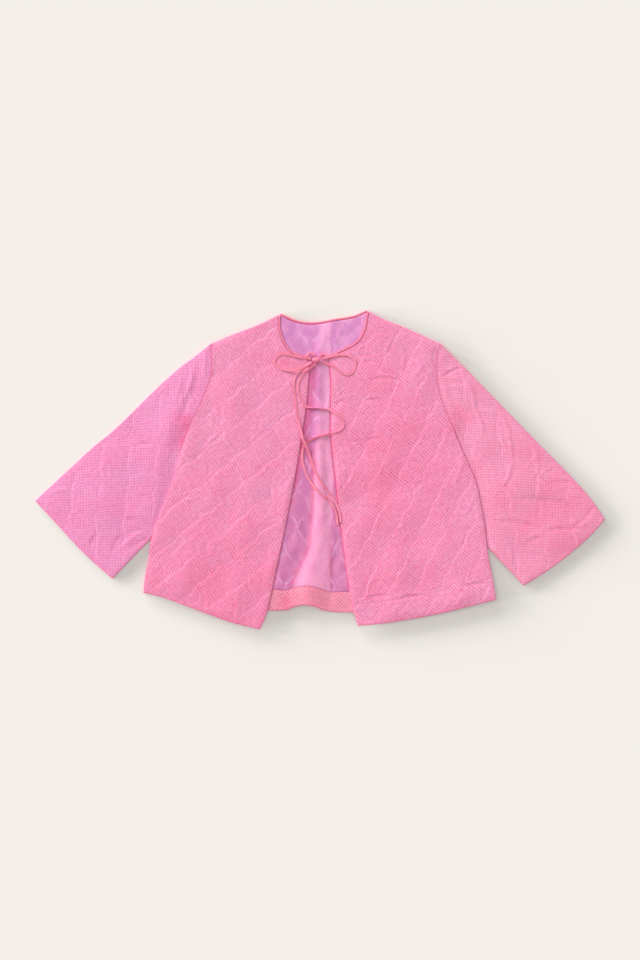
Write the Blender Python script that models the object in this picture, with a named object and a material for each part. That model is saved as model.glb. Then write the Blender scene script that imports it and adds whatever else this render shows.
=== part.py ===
"""Quilted bed jacket laid flat with its front side up.

Cut as a back with its lining and hem facing, two fronts, two set-in sleeves, a bound round neck
and narrow ties in a bow. Each quilted wall is plain inside and puffed outside between wavy
stitching lines that cross in soft diamonds.

Sizes are in millimetres and become metres when a mesh is made. +Z points up from the surface
that the jacket lies on, and the origin is on that surface under the middle of the layout.
"""
import math
from collections import namedtuple

import bpy
import numpy as np
from mathutils import Vector
from mathutils.geometry import delaunay_2d_cdt

MM = 0.001

# Walls and the heights of the layers above the surface.
BACK_WALL = 1.6
LINING_WALL = 1.2
FRONT_WALL = 1.3
SLEEVE_WALL = 1.3
LAYER_GAP = 0.4
SEAM_GAP = 0.3
LINING_BASE = BACK_WALL + LAYER_GAP
FRONT_BASE = LINING_BASE + LINING_WALL + LAYER_GAP
SLEEVE_CAVITY = 0.4

# Quilting: how far the cloth puffs out between the stitching lines.
SHELL_PUFF = 1.3
LINING_PUFF = 0.5
PUFF_SHARPNESS = 0.6
EDGE_FADE = 9.0
EDGE_PUFF = 0.3
LINING_FADE = 9.0

# Cut edges, neck binding and ties.
EDGE_SPACING = 15.0
PLAIN_SPACING = 42.0
CELL_STEPS = 4
FOLD_SPACING = 11.0
FRONT_BINDING_WIDTH = 4.2
BACK_BINDING_WIDTH = 6.0
FRONT_BINDING_HEIGHT = 2.4
TIE_DIAMETER = 3.4
TIE_STEP = 8.5
CROSSING_LIFT = 4.9
TUCK_DEPTH = 16.0
TUCK_RISE = 12.0
TUCK_TOP = 42.0
TUCK_LENGTH = 75.0

Point = namedtuple("Point", "x y")
BodyEdge = namedtuple("BodyEdge", "y left right")
OpeningEdge = namedtuple("OpeningEdge", "y left right")
Ridge = namedtuple("Ridge", "y centre half_width height")
Quilt = namedtuple("Quilt", "x y angle_a spacing_a angle_b spacing_b wave")
Loft = namedtuple("Loft", "x y along across angle height")
RoutePoint = namedtuple("RoutePoint", "x y lift")
Strand = namedtuple("Strand", "name route")

# Side of the body from the shoulder tip down, on the wearer's right (left in plan) and the other.
BODY_EDGES = (
    BodyEdge(214.0, -185.6, 205.4),
    BodyEdge(195.0, -185.0, 198.5),
    BodyEdge(160.0, -185.5, 197.7),
    BodyEdge(135.0, -194.0, 202.0),
    BodyEdge(110.0, -205.0, 209.5),
    BodyEdge(80.0, -220.0, 222.5),
    BodyEdge(50.0, -231.0, 235.0),
    BodyEdge(20.0, -240.0, 248.0),
    BodyEdge(-15.0, -249.5, 263.5),
    BodyEdge(-50.0, -262.0, 272.0),
    BodyEdge(-90.0, -278.0, 279.5),
    BodyEdge(-120.0, -287.0, 282.7),
    BodyEdge(-150.0, -290.5, 286.5),
    BodyEdge(-180.0, -297.0, 292.3),
)

# Edges of the two fronts along the opening, from the hem up to the neck.
OPENING_EDGES = (
    OpeningEdge(-268.0, -101.0, 66.5),
    OpeningEdge(-250.0, -93.0, 60.0),
    OpeningEdge(-225.0, -86.0, 54.0),
    OpeningEdge(-190.0, -78.2, 47.8),
    OpeningEdge(-130.0, -65.5, 40.0),
    OpeningEdge(-70.0, -53.5, 32.5),
    OpeningEdge(0.0, -40.0, 25.0),
    OpeningEdge(60.0, -30.5, 18.6),
    OpeningEdge(105.0, -23.5, 18.6),
    OpeningEdge(145.0, -19.6, 19.2),
    OpeningEdge(180.0, -18.2, 16.5),
    OpeningEdge(187.0, -19.4, 15.0),
)

FRONT_HEMS = {
    "left": (Point(-299.9, -208.3), Point(-267.9, -216.0), Point(-231.0, -229.5),
             Point(-190.7, -244.6), Point(-147.0, -259.8), Point(-101.7, -270.8)),
    "right": (Point(299.0, -220.0), Point(271.3, -227.0), Point(208.9, -242.6),
              Point(146.4, -254.7), Point(104.7, -261.0), Point(67.0, -264.3)),
}
SHOULDERS = {
    "left": (Point(-71.9, 262.3), Point(-106.8, 245.5), Point(-147.1, 230.4), Point(-185.6, 214.0)),
    "right": (Point(84.6, 268.6), Point(104.7, 257.4), Point(139.4, 243.6), Point(205.4, 214.0)),
}
FRONT_NECKS = {
    "left": (Point(-20.4, 192.1), Point(-34.0, 195.5), Point(-47.6, 202.3), Point(-56.1, 211.5),
             Point(-62.4, 224.6), Point(-66.8, 241.2), Point(-67.3, 262.0)),
    "right": (Point(13.9, 192.9), Point(28.4, 200.5), Point(41.5, 206.7), Point(55.8, 213.9),
              Point(67.7, 225.8), Point(74.8, 242.0), Point(79.6, 268.4)),
}
BACK_NECK = (Point(-63.8, 265.0), Point(-47.6, 257.2), Point(-26.4, 251.6), Point(-0.3, 251.9),
             Point(27.2, 257.2), Point(56.6, 262.1), Point(79.0, 271.3))
BACK_HEM = (Point(-299.5, -207.5), Point(-231.0, -224.0), Point(-147.0, -236.0),
            Point(-88.9, -238.5), Point(-55.6, -237.8), Point(-41.0, -231.4), Point(-24.7, -229.0),
            Point(-8.3, -232.2), Point(4.6, -237.8), Point(22.4, -241.1), Point(56.6, -241.9),
            Point(104.7, -241.0), Point(208.9, -233.0), Point(298.5, -219.0))
FACING_TOP = (Point(-296.3, -177.0), Point(-231.0, -190.0), Point(-147.0, -200.0),
              Point(-80.8, -202.1), Point(-56.4, -203.7), Point(-44.2, -199.6), Point(-15.0, -197.2),
              Point(16.0, -206.2), Point(51.0, -206.9), Point(104.7, -206.0), Point(208.9, -198.0),
              Point(292.0, -178.0))

SLEEVE_TOPS = {
    "left": (Point(-185.6, 214.0), Point(-216.0, 190.0), Point(-241.0, 171.5), Point(-278.0, 138.0),
             Point(-348.7, 69.0), Point(-387.3, 37.1), Point(-483.8, -52.4)),
    "right": (Point(205.4, 214.0), Point(243.6, 176.0), Point(309.4, 108.3), Point(368.4, 47.6),
              Point(432.7, -17.7), Point(462.1, -51.7), Point(484.0, -84.0)),
}
CUFFS = {
    "left": (Point(-483.8, -52.4), Point(-442.9, -96.7), Point(-402.4, -140.4),
             Point(-352.8, -184.8)),
    "right": (Point(484.0, -84.0), Point(458.7, -112.4), Point(427.4, -140.1), Point(385.7, -171.4),
              Point(346.0, -196.4)),
}
UNDERARMS = {
    "left": (Point(-352.8, -184.8), Point(-321.8, -152.2), Point(-286.8, -116.4)),
    "right": (Point(346.0, -196.4), Point(313.0, -161.0), Point(283.4, -129.7)),
}

# One soft fold of the lining runs down the middle of the back and lifts the hem facing.
BACK_FOLD = (
    Ridge(250.0, 2.0, 12.0, 0.0),
    Ridge(190.0, 0.0, 11.0, 1.6),
    Ridge(60.0, -2.0, 13.0, 2.4),
    Ridge(-85.0, 2.0, 17.0, 3.0),
    Ridge(-150.0, -6.0, 30.0, 3.6),
    Ridge(-200.0, -16.0, 38.0, 4.2),
    Ridge(-245.0, -20.0, 38.0, 4.6),
)

# Stitching lines: a point where two cross, and each family's direction and spacing.
QUILTS = {
    "front_left": Quilt(-170.0, -55.0, 39.0, 43.0, 110.0, 44.0, 0.07),
    "front_right": Quilt(170.0, 60.4, 63.0, 37.0, 138.0, 42.0, 0.07),
    "sleeve_left": Quilt(-329.8, -55.0, 86.0, 46.0, 176.0, 49.0, 0.06),
    "sleeve_right": Quilt(318.8, -42.5, 98.0, 50.0, 172.0, 48.0, 0.06),
    "back_lining": Quilt(-38.0, -98.0, 58.0, 36.0, 122.0, 36.0, 0.05),
}

# Broad rises of the cloth off the layer below.
LOFTS = {
    "front_left": (Loft(-235.0, -200.0, 60.0, 20.0, 75.0, 1.6), Loft(-150.0, -235.0, 60.0, 22.0, 80.0, 1.8),
                   Loft(-150.0, 120.0, 90.0, 30.0, 110.0, 1.2)),
    "front_right": (Loft(235.0, -205.0, 60.0, 20.0, 105.0, 1.8), Loft(140.0, -235.0, 60.0, 24.0, 100.0, 1.6),
                    Loft(150.0, 110.0, 90.0, 30.0, 65.0, 1.4)),
    "sleeve_left": (Loft(-330.0, -20.0, 150.0, 58.0, 42.0, 2.2), Loft(-225.0, 140.0, 70.0, 26.0, 70.0, 1.6)),
    "sleeve_right": (Loft(335.0, -25.0, 150.0, 58.0, 137.0, 2.2), Loft(240.0, 130.0, 70.0, 26.0, 110.0, 1.6)),
}

# The bow and the two hanging ends, as places on the cloth, with a lift where one strand crosses another.
KNOT_CENTRE = (-6.4, 186.4, 9.0)
KNOT_HALF_SIZE = (6.9, 4.6, 3.2)
STRANDS = (
    Strand("bow_loop_left", (
        RoutePoint(-14.6, 189.0, 0.9), RoutePoint(-31.1, 190.8, 1.4), RoutePoint(-45.9, 193.8, 0.6),
        RoutePoint(-65.3, 195.5, 0.0), RoutePoint(-78.2, 184.1, 0.0), RoutePoint(-70.2, 172.7, 0.0),
        RoutePoint(-50.7, 168.6, 2.0), RoutePoint(-36.0, 170.2, CROSSING_LIFT),
        RoutePoint(-25.5, 175.6, CROSSING_LIFT), RoutePoint(-14.8, 183.0, 4.4))),
    Strand("bow_loop_right", (
        RoutePoint(1.8, 189.2, 0.9), RoutePoint(14.3, 191.4, 0.9), RoutePoint(34.0, 195.5, 0.6),
        RoutePoint(48.5, 193.8, 0.0), RoutePoint(58.3, 185.6, 0.0), RoutePoint(59.8, 176.0, 0.0),
        RoutePoint(53.4, 163.7, 0.0), RoutePoint(43.7, 162.0, 0.0), RoutePoint(32.3, 167.8, 0.0),
        RoutePoint(17.7, 177.6, 0.4), RoutePoint(1.8, 183.6, 0.9))),
    Strand("tie_tail_left", (
        RoutePoint(-6.2, 180.3, 0.0), RoutePoint(-21.5, 168.5, 0.0), RoutePoint(-36.6, 149.9, 0.0),
        RoutePoint(-37.6, 135.3, 0.0), RoutePoint(-31.1, 119.0, 0.0), RoutePoint(-21.6, 107.4, 0.0),
        RoutePoint(-2.4, 104.9, 0.0), RoutePoint(15.8, 102.3, 0.0), RoutePoint(39.1, 84.1, 0.0),
        RoutePoint(37.1, 70.6, 0.0), RoutePoint(15.3, 61.5, 0.0), RoutePoint(-11.9, 52.4, 0.0),
        RoutePoint(-27.5, 39.4, 0.0), RoutePoint(-30.4, 21.4, 0.0), RoutePoint(-27.9, 6.8, 0.0),
        RoutePoint(-21.4, -11.1, 0.0), RoutePoint(-11.1, -27.2, 0.0), RoutePoint(1.7, -40.0, 0.0),
        RoutePoint(13.6, -49.3, 0.0), RoutePoint(22.1, -60.4, 0.0), RoutePoint(27.7, -74.8, 0.0),
        RoutePoint(29.6, -96.0, 0.0))),
    Strand("tie_tail_right", (
        RoutePoint(-13.6, 181.6, 0.0), RoutePoint(-29.6, 173.6, 0.0), RoutePoint(-43.4, 155.0, 0.0),
        RoutePoint(-43.4, 132.0, 0.0), RoutePoint(-40.0, 108.0, 0.0), RoutePoint(-36.5, 88.0, 0.0),
        RoutePoint(-32.6, 66.0, 1.0), RoutePoint(-28.0, 49.3, CROSSING_LIFT),
        RoutePoint(-22.5, 38.0, CROSSING_LIFT), RoutePoint(-17.6, 24.5, 1.2),
        RoutePoint(-12.6, 10.0, 0.0), RoutePoint(-6.6, -4.4, 0.0), RoutePoint(1.4, -18.6, 0.0),
        RoutePoint(9.4, -32.0, 0.0), RoutePoint(18.4, -43.6, 0.0), RoutePoint(27.2, -56.4, 0.0),
        RoutePoint(33.0, -71.9, 0.0), RoutePoint(35.4, -92.0, 0.0))),
)
TIE_ROOTS = {
    "left": (RoutePoint(-20.0, 194.6, 1.2), RoutePoint(-17.6, 198.6, 2.0),
             RoutePoint(-12.2, 197.6, 3.0), RoutePoint(-9.4, 193.4, 3.8)),
    "right": (RoutePoint(8.5, 193.8, 1.6), RoutePoint(4.0, 195.6, 2.6), RoutePoint(-1.2, 193.2, 3.8)),
}

Finish = namedtuple("Finish", "colour roughness")
FINISHES = {
    "shell": Finish((0.93, 0.31, 0.47), 0.75),
    "sleeve": Finish((0.91, 0.33, 0.55), 0.75),
    "lining": Finish((0.76, 0.26, 0.56), 0.45),
    "facing": Finish((0.93, 0.31, 0.47), 0.75),
    "trim": Finish((0.90, 0.22, 0.32), 0.6),
}


def curve_through(points, spacing):
    """Evenly spread points, about `spacing` apart, on a smooth curve through the given ones."""
    given = [np.array(p, dtype=float) for p in points]
    ends = [2 * given[0] - given[1]] + given + [2 * given[-1] - given[-2]]
    curve = []
    for i in range(1, len(ends) - 2):
        before, start, finish, after = ends[i - 1:i + 3]
        chord = np.linalg.norm(finish - start)
        start_pull = (finish - before) * chord / (chord + np.linalg.norm(start - before))
        finish_pull = (after - start) * chord / (chord + np.linalg.norm(after - finish))
        for t in np.linspace(0, 1, 12, endpoint=False):
            curve.append((2 * t**3 - 3 * t**2 + 1) * start + (t**3 - 2 * t**2 + t) * start_pull
                         + (3 * t**2 - 2 * t**3) * finish + (t**3 - t**2) * finish_pull)
    curve.append(given[-1])
    curve = np.array(curve)
    along = np.concatenate([[0], np.cumsum(np.linalg.norm(np.diff(curve, axis=0), axis=1))])
    count = max(2, int(round(along[-1] / spacing)) + 1)
    marks = np.linspace(0, along[-1], count)
    return np.column_stack([np.interp(marks, along, column) for column in curve.T])


def offset_line(line, distance):
    """An open line moved to its left by `distance`."""
    direction = np.gradient(line, axis=0)
    direction /= np.linalg.norm(direction, axis=1)[:, None]
    return line + np.column_stack([-direction[:, 1], direction[:, 0]]) * distance


def turn_anticlockwise(loop, flags):
    """The loop in anticlockwise order, with one flag for the stretch that follows each point."""
    following = np.roll(loop, -1, axis=0)
    area = np.sum(loop[:, 0] * following[:, 1] - following[:, 0] * loop[:, 1])
    if area > 0:
        return loop, flags
    return loop[::-1].copy(), np.roll(flags[::-1], -1)


def join_runs(*runs):
    """One closed loop from runs that start where the last one ended, with each stretch's flag."""
    loop = np.concatenate([line[:-1] for line, _ in runs])
    flags = np.concatenate([np.full(len(line) - 1, flag) for line, flag in runs])
    return turn_anticlockwise(loop, flags)


def inset(loop, distance):
    """An anticlockwise loop moved inward."""
    arriving = loop - np.roll(loop, 1, axis=0)
    leaving = np.roll(loop, -1, axis=0) - loop
    arriving /= np.linalg.norm(arriving, axis=1)[:, None]
    leaving /= np.linalg.norm(leaving, axis=1)[:, None]
    first = np.column_stack([-arriving[:, 1], arriving[:, 0]])
    inward = first + np.column_stack([-leaving[:, 1], leaving[:, 0]])
    inward /= np.linalg.norm(inward, axis=1)[:, None]
    stretch = distance / np.maximum(0.4, np.sum(inward * first, axis=1))
    return loop + inward * stretch[:, None]


def depth_inside(points, loop):
    """How far each point lies inside the loop, negative where it is outside."""
    start = loop[None, :, :]
    step = np.roll(loop, -1, axis=0)[None, :, :] - start
    reach = points[:, None, :] - start
    share = np.clip(np.sum(reach * step, axis=2) / np.sum(step * step, axis=2), 0, 1)
    distance = np.linalg.norm(reach - share[..., None] * step, axis=2).min(axis=1)
    spans = (start[..., 1] > points[:, None, 1]) != (start[..., 1] + step[..., 1] > points[:, None, 1])
    with np.errstate(divide="ignore", invalid="ignore"):
        crossing = start[..., 0] + step[..., 0] * reach[..., 1] / step[..., 1]
    inside = np.sum(spans & (points[:, None, 0] < crossing), axis=1) % 2 == 1
    return np.where(inside, distance, -distance)


def smooth_step(values, low, high):
    """Rises from 0 at `low` to 1 at `high` with level ends."""
    t = np.clip((values - low) / (high - low), 0, 1)
    return t * t * (3 - 2 * t)


def quilt_cells(quilt, points):
    """Each point in quilting coordinates, whole numbers being the stitching lines."""
    a, b = math.radians(quilt.angle_a), math.radians(quilt.angle_b)
    away = points - np.array([quilt.x, quilt.y])
    u = (away[:, 1] * math.cos(a) - away[:, 0] * math.sin(a)) / quilt.spacing_a
    v = (away[:, 1] * math.cos(b) - away[:, 0] * math.sin(b)) / quilt.spacing_b
    return u + quilt.wave * np.sin(2 * math.pi * v), v + quilt.wave * np.sin(2 * math.pi * u)


def quilt_places(quilt, u, v):
    """Where quilting coordinates lie on the panel."""
    straight_u, straight_v = u.copy(), v.copy()
    for _ in range(8):
        straight_u, straight_v = (u - quilt.wave * np.sin(2 * math.pi * straight_v),
                                  v - quilt.wave * np.sin(2 * math.pi * straight_u))
    a, b = math.radians(quilt.angle_a), math.radians(quilt.angle_b)
    rows = np.array([[-math.sin(a), math.cos(a)], [-math.sin(b), math.cos(b)]])
    reach = np.column_stack([straight_u * quilt.spacing_a, straight_v * quilt.spacing_b])
    return reach @ np.linalg.inv(rows).T + np.array([quilt.x, quilt.y])


def quilted_points(quilt, loop, margin):
    """Points on the stitching lines and over each cell, inside the loop."""
    span = 24
    marks = np.arange(-span * CELL_STEPS, span * CELL_STEPS + 1) / CELL_STEPS
    u, v = np.meshgrid(marks, marks)
    places = quilt_places(quilt, u.ravel(), v.ravel())
    low, high = loop.min(axis=0), loop.max(axis=0)
    places = places[np.all((places > low) & (places < high), axis=1)]
    return places[depth_inside(places, loop) > margin]


def plain_points(loop, spacing, margin):
    """A staggered grid of points inside the loop."""
    low, high = loop.min(axis=0), loop.max(axis=0)
    rows = []
    for number, y in enumerate(np.arange(low[1], high[1], spacing * 0.8)):
        x = np.arange(low[0] + (number % 2) * spacing / 2, high[0], spacing)
        rows.append(np.column_stack([x, np.full(len(x), y)]))
    places = np.concatenate(rows)
    return places[depth_inside(places, loop) > margin]


def puff_height(quilt, points, loop, height):
    """Height of the quilting over the wall, lower beside the edges."""
    u, v = quilt_cells(quilt, points)
    crown = np.abs(np.sin(math.pi * u) * np.sin(math.pi * v)) ** PUFF_SHARPNESS
    edge = smooth_step(depth_inside(points, loop), 0, EDGE_FADE)
    return height * crown * (EDGE_PUFF + (1 - EDGE_PUFF) * edge)


def loft_height(name, points):
    """Broad rises of the panel off the layer below."""
    total = np.zeros(len(points))
    for loft in LOFTS[name]:
        angle = math.radians(loft.angle)
        away = points - np.array([loft.x, loft.y])
        along = away[:, 0] * math.cos(angle) + away[:, 1] * math.sin(angle)
        across = away[:, 1] * math.cos(angle) - away[:, 0] * math.sin(angle)
        total += loft.height * np.exp(-(along / loft.along) ** 2 - (across / loft.across) ** 2)
    return total


def fold_height(points):
    """Rise of the soft fold down the middle of the back."""
    rows = sorted(BACK_FOLD)
    y = [row.y for row in rows]
    centre = np.interp(points[:, 1], y, [row.centre for row in rows])
    half_width = np.interp(points[:, 1], y, [row.half_width for row in rows])
    height = np.interp(points[:, 1], y, [row.height for row in rows])
    share = np.clip(np.abs(points[:, 0] - centre) / half_width, 0, 1)
    return height * np.cos(share * math.pi / 2) ** 2


def triangulate(loop, points):
    """Triangles over the inside of the loop, as indices into the loop and then the points."""
    places = [Vector(p) for p in np.concatenate([loop, points])]
    result = delaunay_2d_cdt(places, [], [list(range(len(loop)))], 1, 1e-5)
    origins = [origin[0] for origin in result[3]]
    triangles = []
    for face in result[2]:
        a, b, c = (origins[i] for i in face)
        area = (places[b] - places[a]).cross(places[c] - places[a])
        triangles.append((a, b, c) if area > 0 else (a, c, b))
    return triangles


class Solid:
    """Collects the layers and walls of one closed body, in millimetres."""

    def __init__(self):
        self.vertices = []
        self.faces = []

    def add_layer(self, loop, points, height, faces_up):
        """Adds a surface over the loop, and returns the index of its first rim point."""
        first = len(self.vertices)
        places = np.concatenate([loop, points])
        self.vertices.extend(np.column_stack([places, height(places)]))
        for a, b, c in triangulate(loop, points):
            face = (a, b, c) if faces_up else (a, c, b)
            self.faces.append(tuple(first + i for i in face))
        return first

    def add_wall(self, upper, lower, flags, faces_out=True):
        """Joins two rims along the stretches that are flagged."""
        count = len(flags)
        for i in np.flatnonzero(flags):
            after = (i + 1) % count
            for face in ((upper + i, lower + i, lower + after), (upper + i, lower + after, upper + after)):
                self.faces.append(face if faces_out else face[::-1])

    def make_object(self, name, finish):
        """The finished object, in metres."""
        mesh = bpy.data.meshes.new(name)
        mesh.from_pydata([tuple(p * MM) for p in self.vertices], [], [tuple(map(int, f)) for f in self.faces])
        mesh.materials.append(make_material(name, finish))
        thing = bpy.data.objects.new(name, mesh)
        bpy.context.scene.collection.objects.link(thing)
        return thing


def make_material(name, finish):
    """A Principled material of the piece's own."""
    material = bpy.data.materials.new(name + "_cloth")
    material.use_nodes = True
    shader = material.node_tree.nodes["Principled BSDF"]
    shader.inputs["Base Color"].default_value = (*FINISHES[finish].colour, 1.0)
    shader.inputs["Roughness"].default_value = FINISHES[finish].roughness
    shader.inputs["Metallic"].default_value = 0.0
    return material


def make_panel(name, finish, loop, top_points, under_points, top, under):
    """A flat panel as one closed wall."""
    solid = Solid()
    upper = solid.add_layer(loop, top_points, top, faces_up=True)
    lower = solid.add_layer(loop, under_points, under, faces_up=False)
    solid.add_wall(upper, lower, np.ones(len(loop), dtype=bool))
    return solid.make_object(name, finish)


def body_edge(side):
    """The visible side of the body, from the shoulder tip down to the hem corner."""
    rows = [Point(getattr(row, side), row.y) for row in BODY_EDGES]
    return curve_through(rows + [FRONT_HEMS[side][0]], EDGE_SPACING)


def seam_edge(side):
    """The seam line of the body: beside the armhole's foot it is tucked in under the front."""
    inward = 1.0 if side == "left" else -1.0
    foot = UNDERARMS[side][-1]
    line = body_edge(side)
    above = line[line[:, 1] > foot.y + TUCK_RISE + EDGE_SPACING / 3]
    depth = TUCK_DEPTH * smooth_step(TUCK_TOP - above[:, 1], 0, TUCK_LENGTH)
    above = above + np.column_stack([inward * depth, np.zeros(len(above))])
    corner = np.array([foot.x + inward * TUCK_RISE * 1.05, foot.y + TUCK_RISE])
    below = line[line[:, 1] < foot.y - EDGE_SPACING / 3]
    return np.vstack([above, corner]), np.vstack([np.array(foot), below])


def front_loop(side):
    """Outline of a front, cut back under the neck binding."""
    into_panel = 1.0 if side == "left" else -1.0
    rows = [Point(getattr(row, side), row.y) for row in OPENING_EDGES]
    opening = curve_through([FRONT_HEMS[side][-1]] + rows, EDGE_SPACING)
    neck = offset_line(curve_through(FRONT_NECKS[side], EDGE_SPACING * 0.7),
                       into_panel * (FRONT_BINDING_WIDTH + SEAM_GAP))
    shoulder = curve_through(SHOULDERS[side], EDGE_SPACING)
    hem = curve_through(FRONT_HEMS[side], EDGE_SPACING)
    side_line = body_edge(side)
    opening = opening[opening[:, 1] < neck[0, 1] - 2.0]
    line = np.vstack([hem[:-1], opening, neck, shoulder[:-1], side_line[:-1]])
    loop, _ = turn_anticlockwise(line, np.ones(len(line), dtype=bool))
    return inset(loop, SEAM_GAP / 2)


def back_outline(lower_edge, lowest):
    """Outline of the back or its lining, above the given lower edge."""
    sides = {}
    for side in ("left", "right"):
        above, below = seam_edge(side)
        whole = np.vstack([above, below])
        sides[side] = whole[whole[:, 1] > lowest[side] + EDGE_SPACING / 3]
    shoulder = {side: curve_through(SHOULDERS[side], EDGE_SPACING) for side in sides}
    neck = offset_line(curve_through(BACK_NECK, EDGE_SPACING * 0.7), -(BACK_BINDING_WIDTH + SEAM_GAP))
    neck = neck[(neck[:, 0] > SHOULDERS["left"][0].x + 1) & (neck[:, 0] < SHOULDERS["right"][0].x - 1)]
    line = np.vstack([lower_edge, sides["right"][::-1], shoulder["right"][:-1][::-1], neck[::-1],
                      shoulder["left"][:-1], sides["left"]])
    loop, _ = turn_anticlockwise(line, np.ones(len(line), dtype=bool))
    return inset(loop, SEAM_GAP / 2)


def with_fold(loop, points):
    """The points, with those on the soft fold replaced by closer ones."""
    fold = plain_points(loop, FOLD_SPACING, FOLD_SPACING / 2)
    fold = fold[fold_height(fold) > 0]
    gap = np.linalg.norm(points[:, None, :] - fold[None, :, :], axis=2).min(axis=1)
    return np.concatenate([fold, points[gap > FOLD_SPACING * 1.3]])


def make_back():
    """The back's outer cloth, flat on the surface."""
    hem = curve_through(BACK_HEM, EDGE_SPACING)
    loop = back_outline(hem, {"left": BACK_HEM[0].y, "right": BACK_HEM[-1].y})
    inside = plain_points(loop, PLAIN_SPACING * 1.6, PLAIN_SPACING / 2)
    return make_panel("back", "shell", loop, inside, inside,
                      lambda p: np.full(len(p), BACK_WALL), lambda p: np.zeros(len(p)))


def lining_top(points, loop):
    """Upper side of the lining, quilted where the open front shows it."""
    shown = smooth_step(clear_of_fronts(points), FRONT_BINDING_WIDTH, FRONT_BINDING_WIDTH + LINING_FADE)
    quilting = puff_height(QUILTS["back_lining"], points, loop, LINING_PUFF)
    return fold_height(points) + LINING_BASE + LINING_WALL + quilting * shown


def clear_of_fronts(points):
    """Distance from the nearer front's edge, negative under a front."""
    return -np.maximum(depth_inside(points, front_loop("left")), depth_inside(points, front_loop("right")))


def make_lining():
    """The back's lining, with fine form only in the stretch that the open front shows."""
    facing = curve_through(FACING_TOP, EDGE_SPACING * 0.8)
    loop = back_outline(facing, {"left": FACING_TOP[0].y, "right": FACING_TOP[-1].y})
    quilted = quilted_points(QUILTS["back_lining"], loop, 4.0)
    quilted = quilted[clear_of_fronts(quilted) > -LINING_FADE]
    plain = plain_points(loop, PLAIN_SPACING * 1.4, PLAIN_SPACING / 2)
    apart = np.linalg.norm(plain[:, None, :] - quilted[None, :, :], axis=2).min(axis=1)
    top_points = np.concatenate([quilted, plain[apart > 14.0]])
    under_points = with_fold(loop, plain)
    return make_panel("back_lining", "lining", loop, top_points, under_points,
                      lambda p: lining_top(p, loop), lambda p: fold_height(p) + LINING_BASE)


def make_hem_facing():
    """The gingham band that faces the back's hem."""
    hem = curve_through(BACK_HEM, EDGE_SPACING * 0.8)
    top_edge = curve_through(FACING_TOP, EDGE_SPACING * 0.8)
    line = np.vstack([hem, top_edge[::-1]])
    loop, _ = turn_anticlockwise(line, np.ones(len(line), dtype=bool))
    loop = inset(loop, SEAM_GAP / 2)
    inside = with_fold(loop, plain_points(loop, PLAIN_SPACING, FOLD_SPACING))
    return make_panel("back_hem_facing", "facing", loop, inside, inside,
                      lambda p: fold_height(p) + LINING_BASE + LINING_WALL,
                      lambda p: fold_height(p) + LINING_BASE)


def front_under(name, points, loop):
    """Inner side of a front."""
    edge = smooth_step(depth_inside(points, loop), 0, 2 * EDGE_FADE)
    return FRONT_BASE + loft_height(name, points) * edge


def front_top(name, points, loop):
    """Outer side of a front."""
    puff = puff_height(QUILTS[name], points, loop, SHELL_PUFF)
    return front_under(name, points, loop) + FRONT_WALL + puff


def make_front(side):
    """One quilted front, plain inside."""
    name = "front_" + side
    loop = front_loop(side)
    return make_panel(name, "shell", loop, quilted_points(QUILTS[name], loop, 4.0),
                      plain_points(loop, PLAIN_SPACING, PLAIN_SPACING / 3),
                      lambda p: front_top(name, p, loop), lambda p: front_under(name, p, loop))


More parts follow.
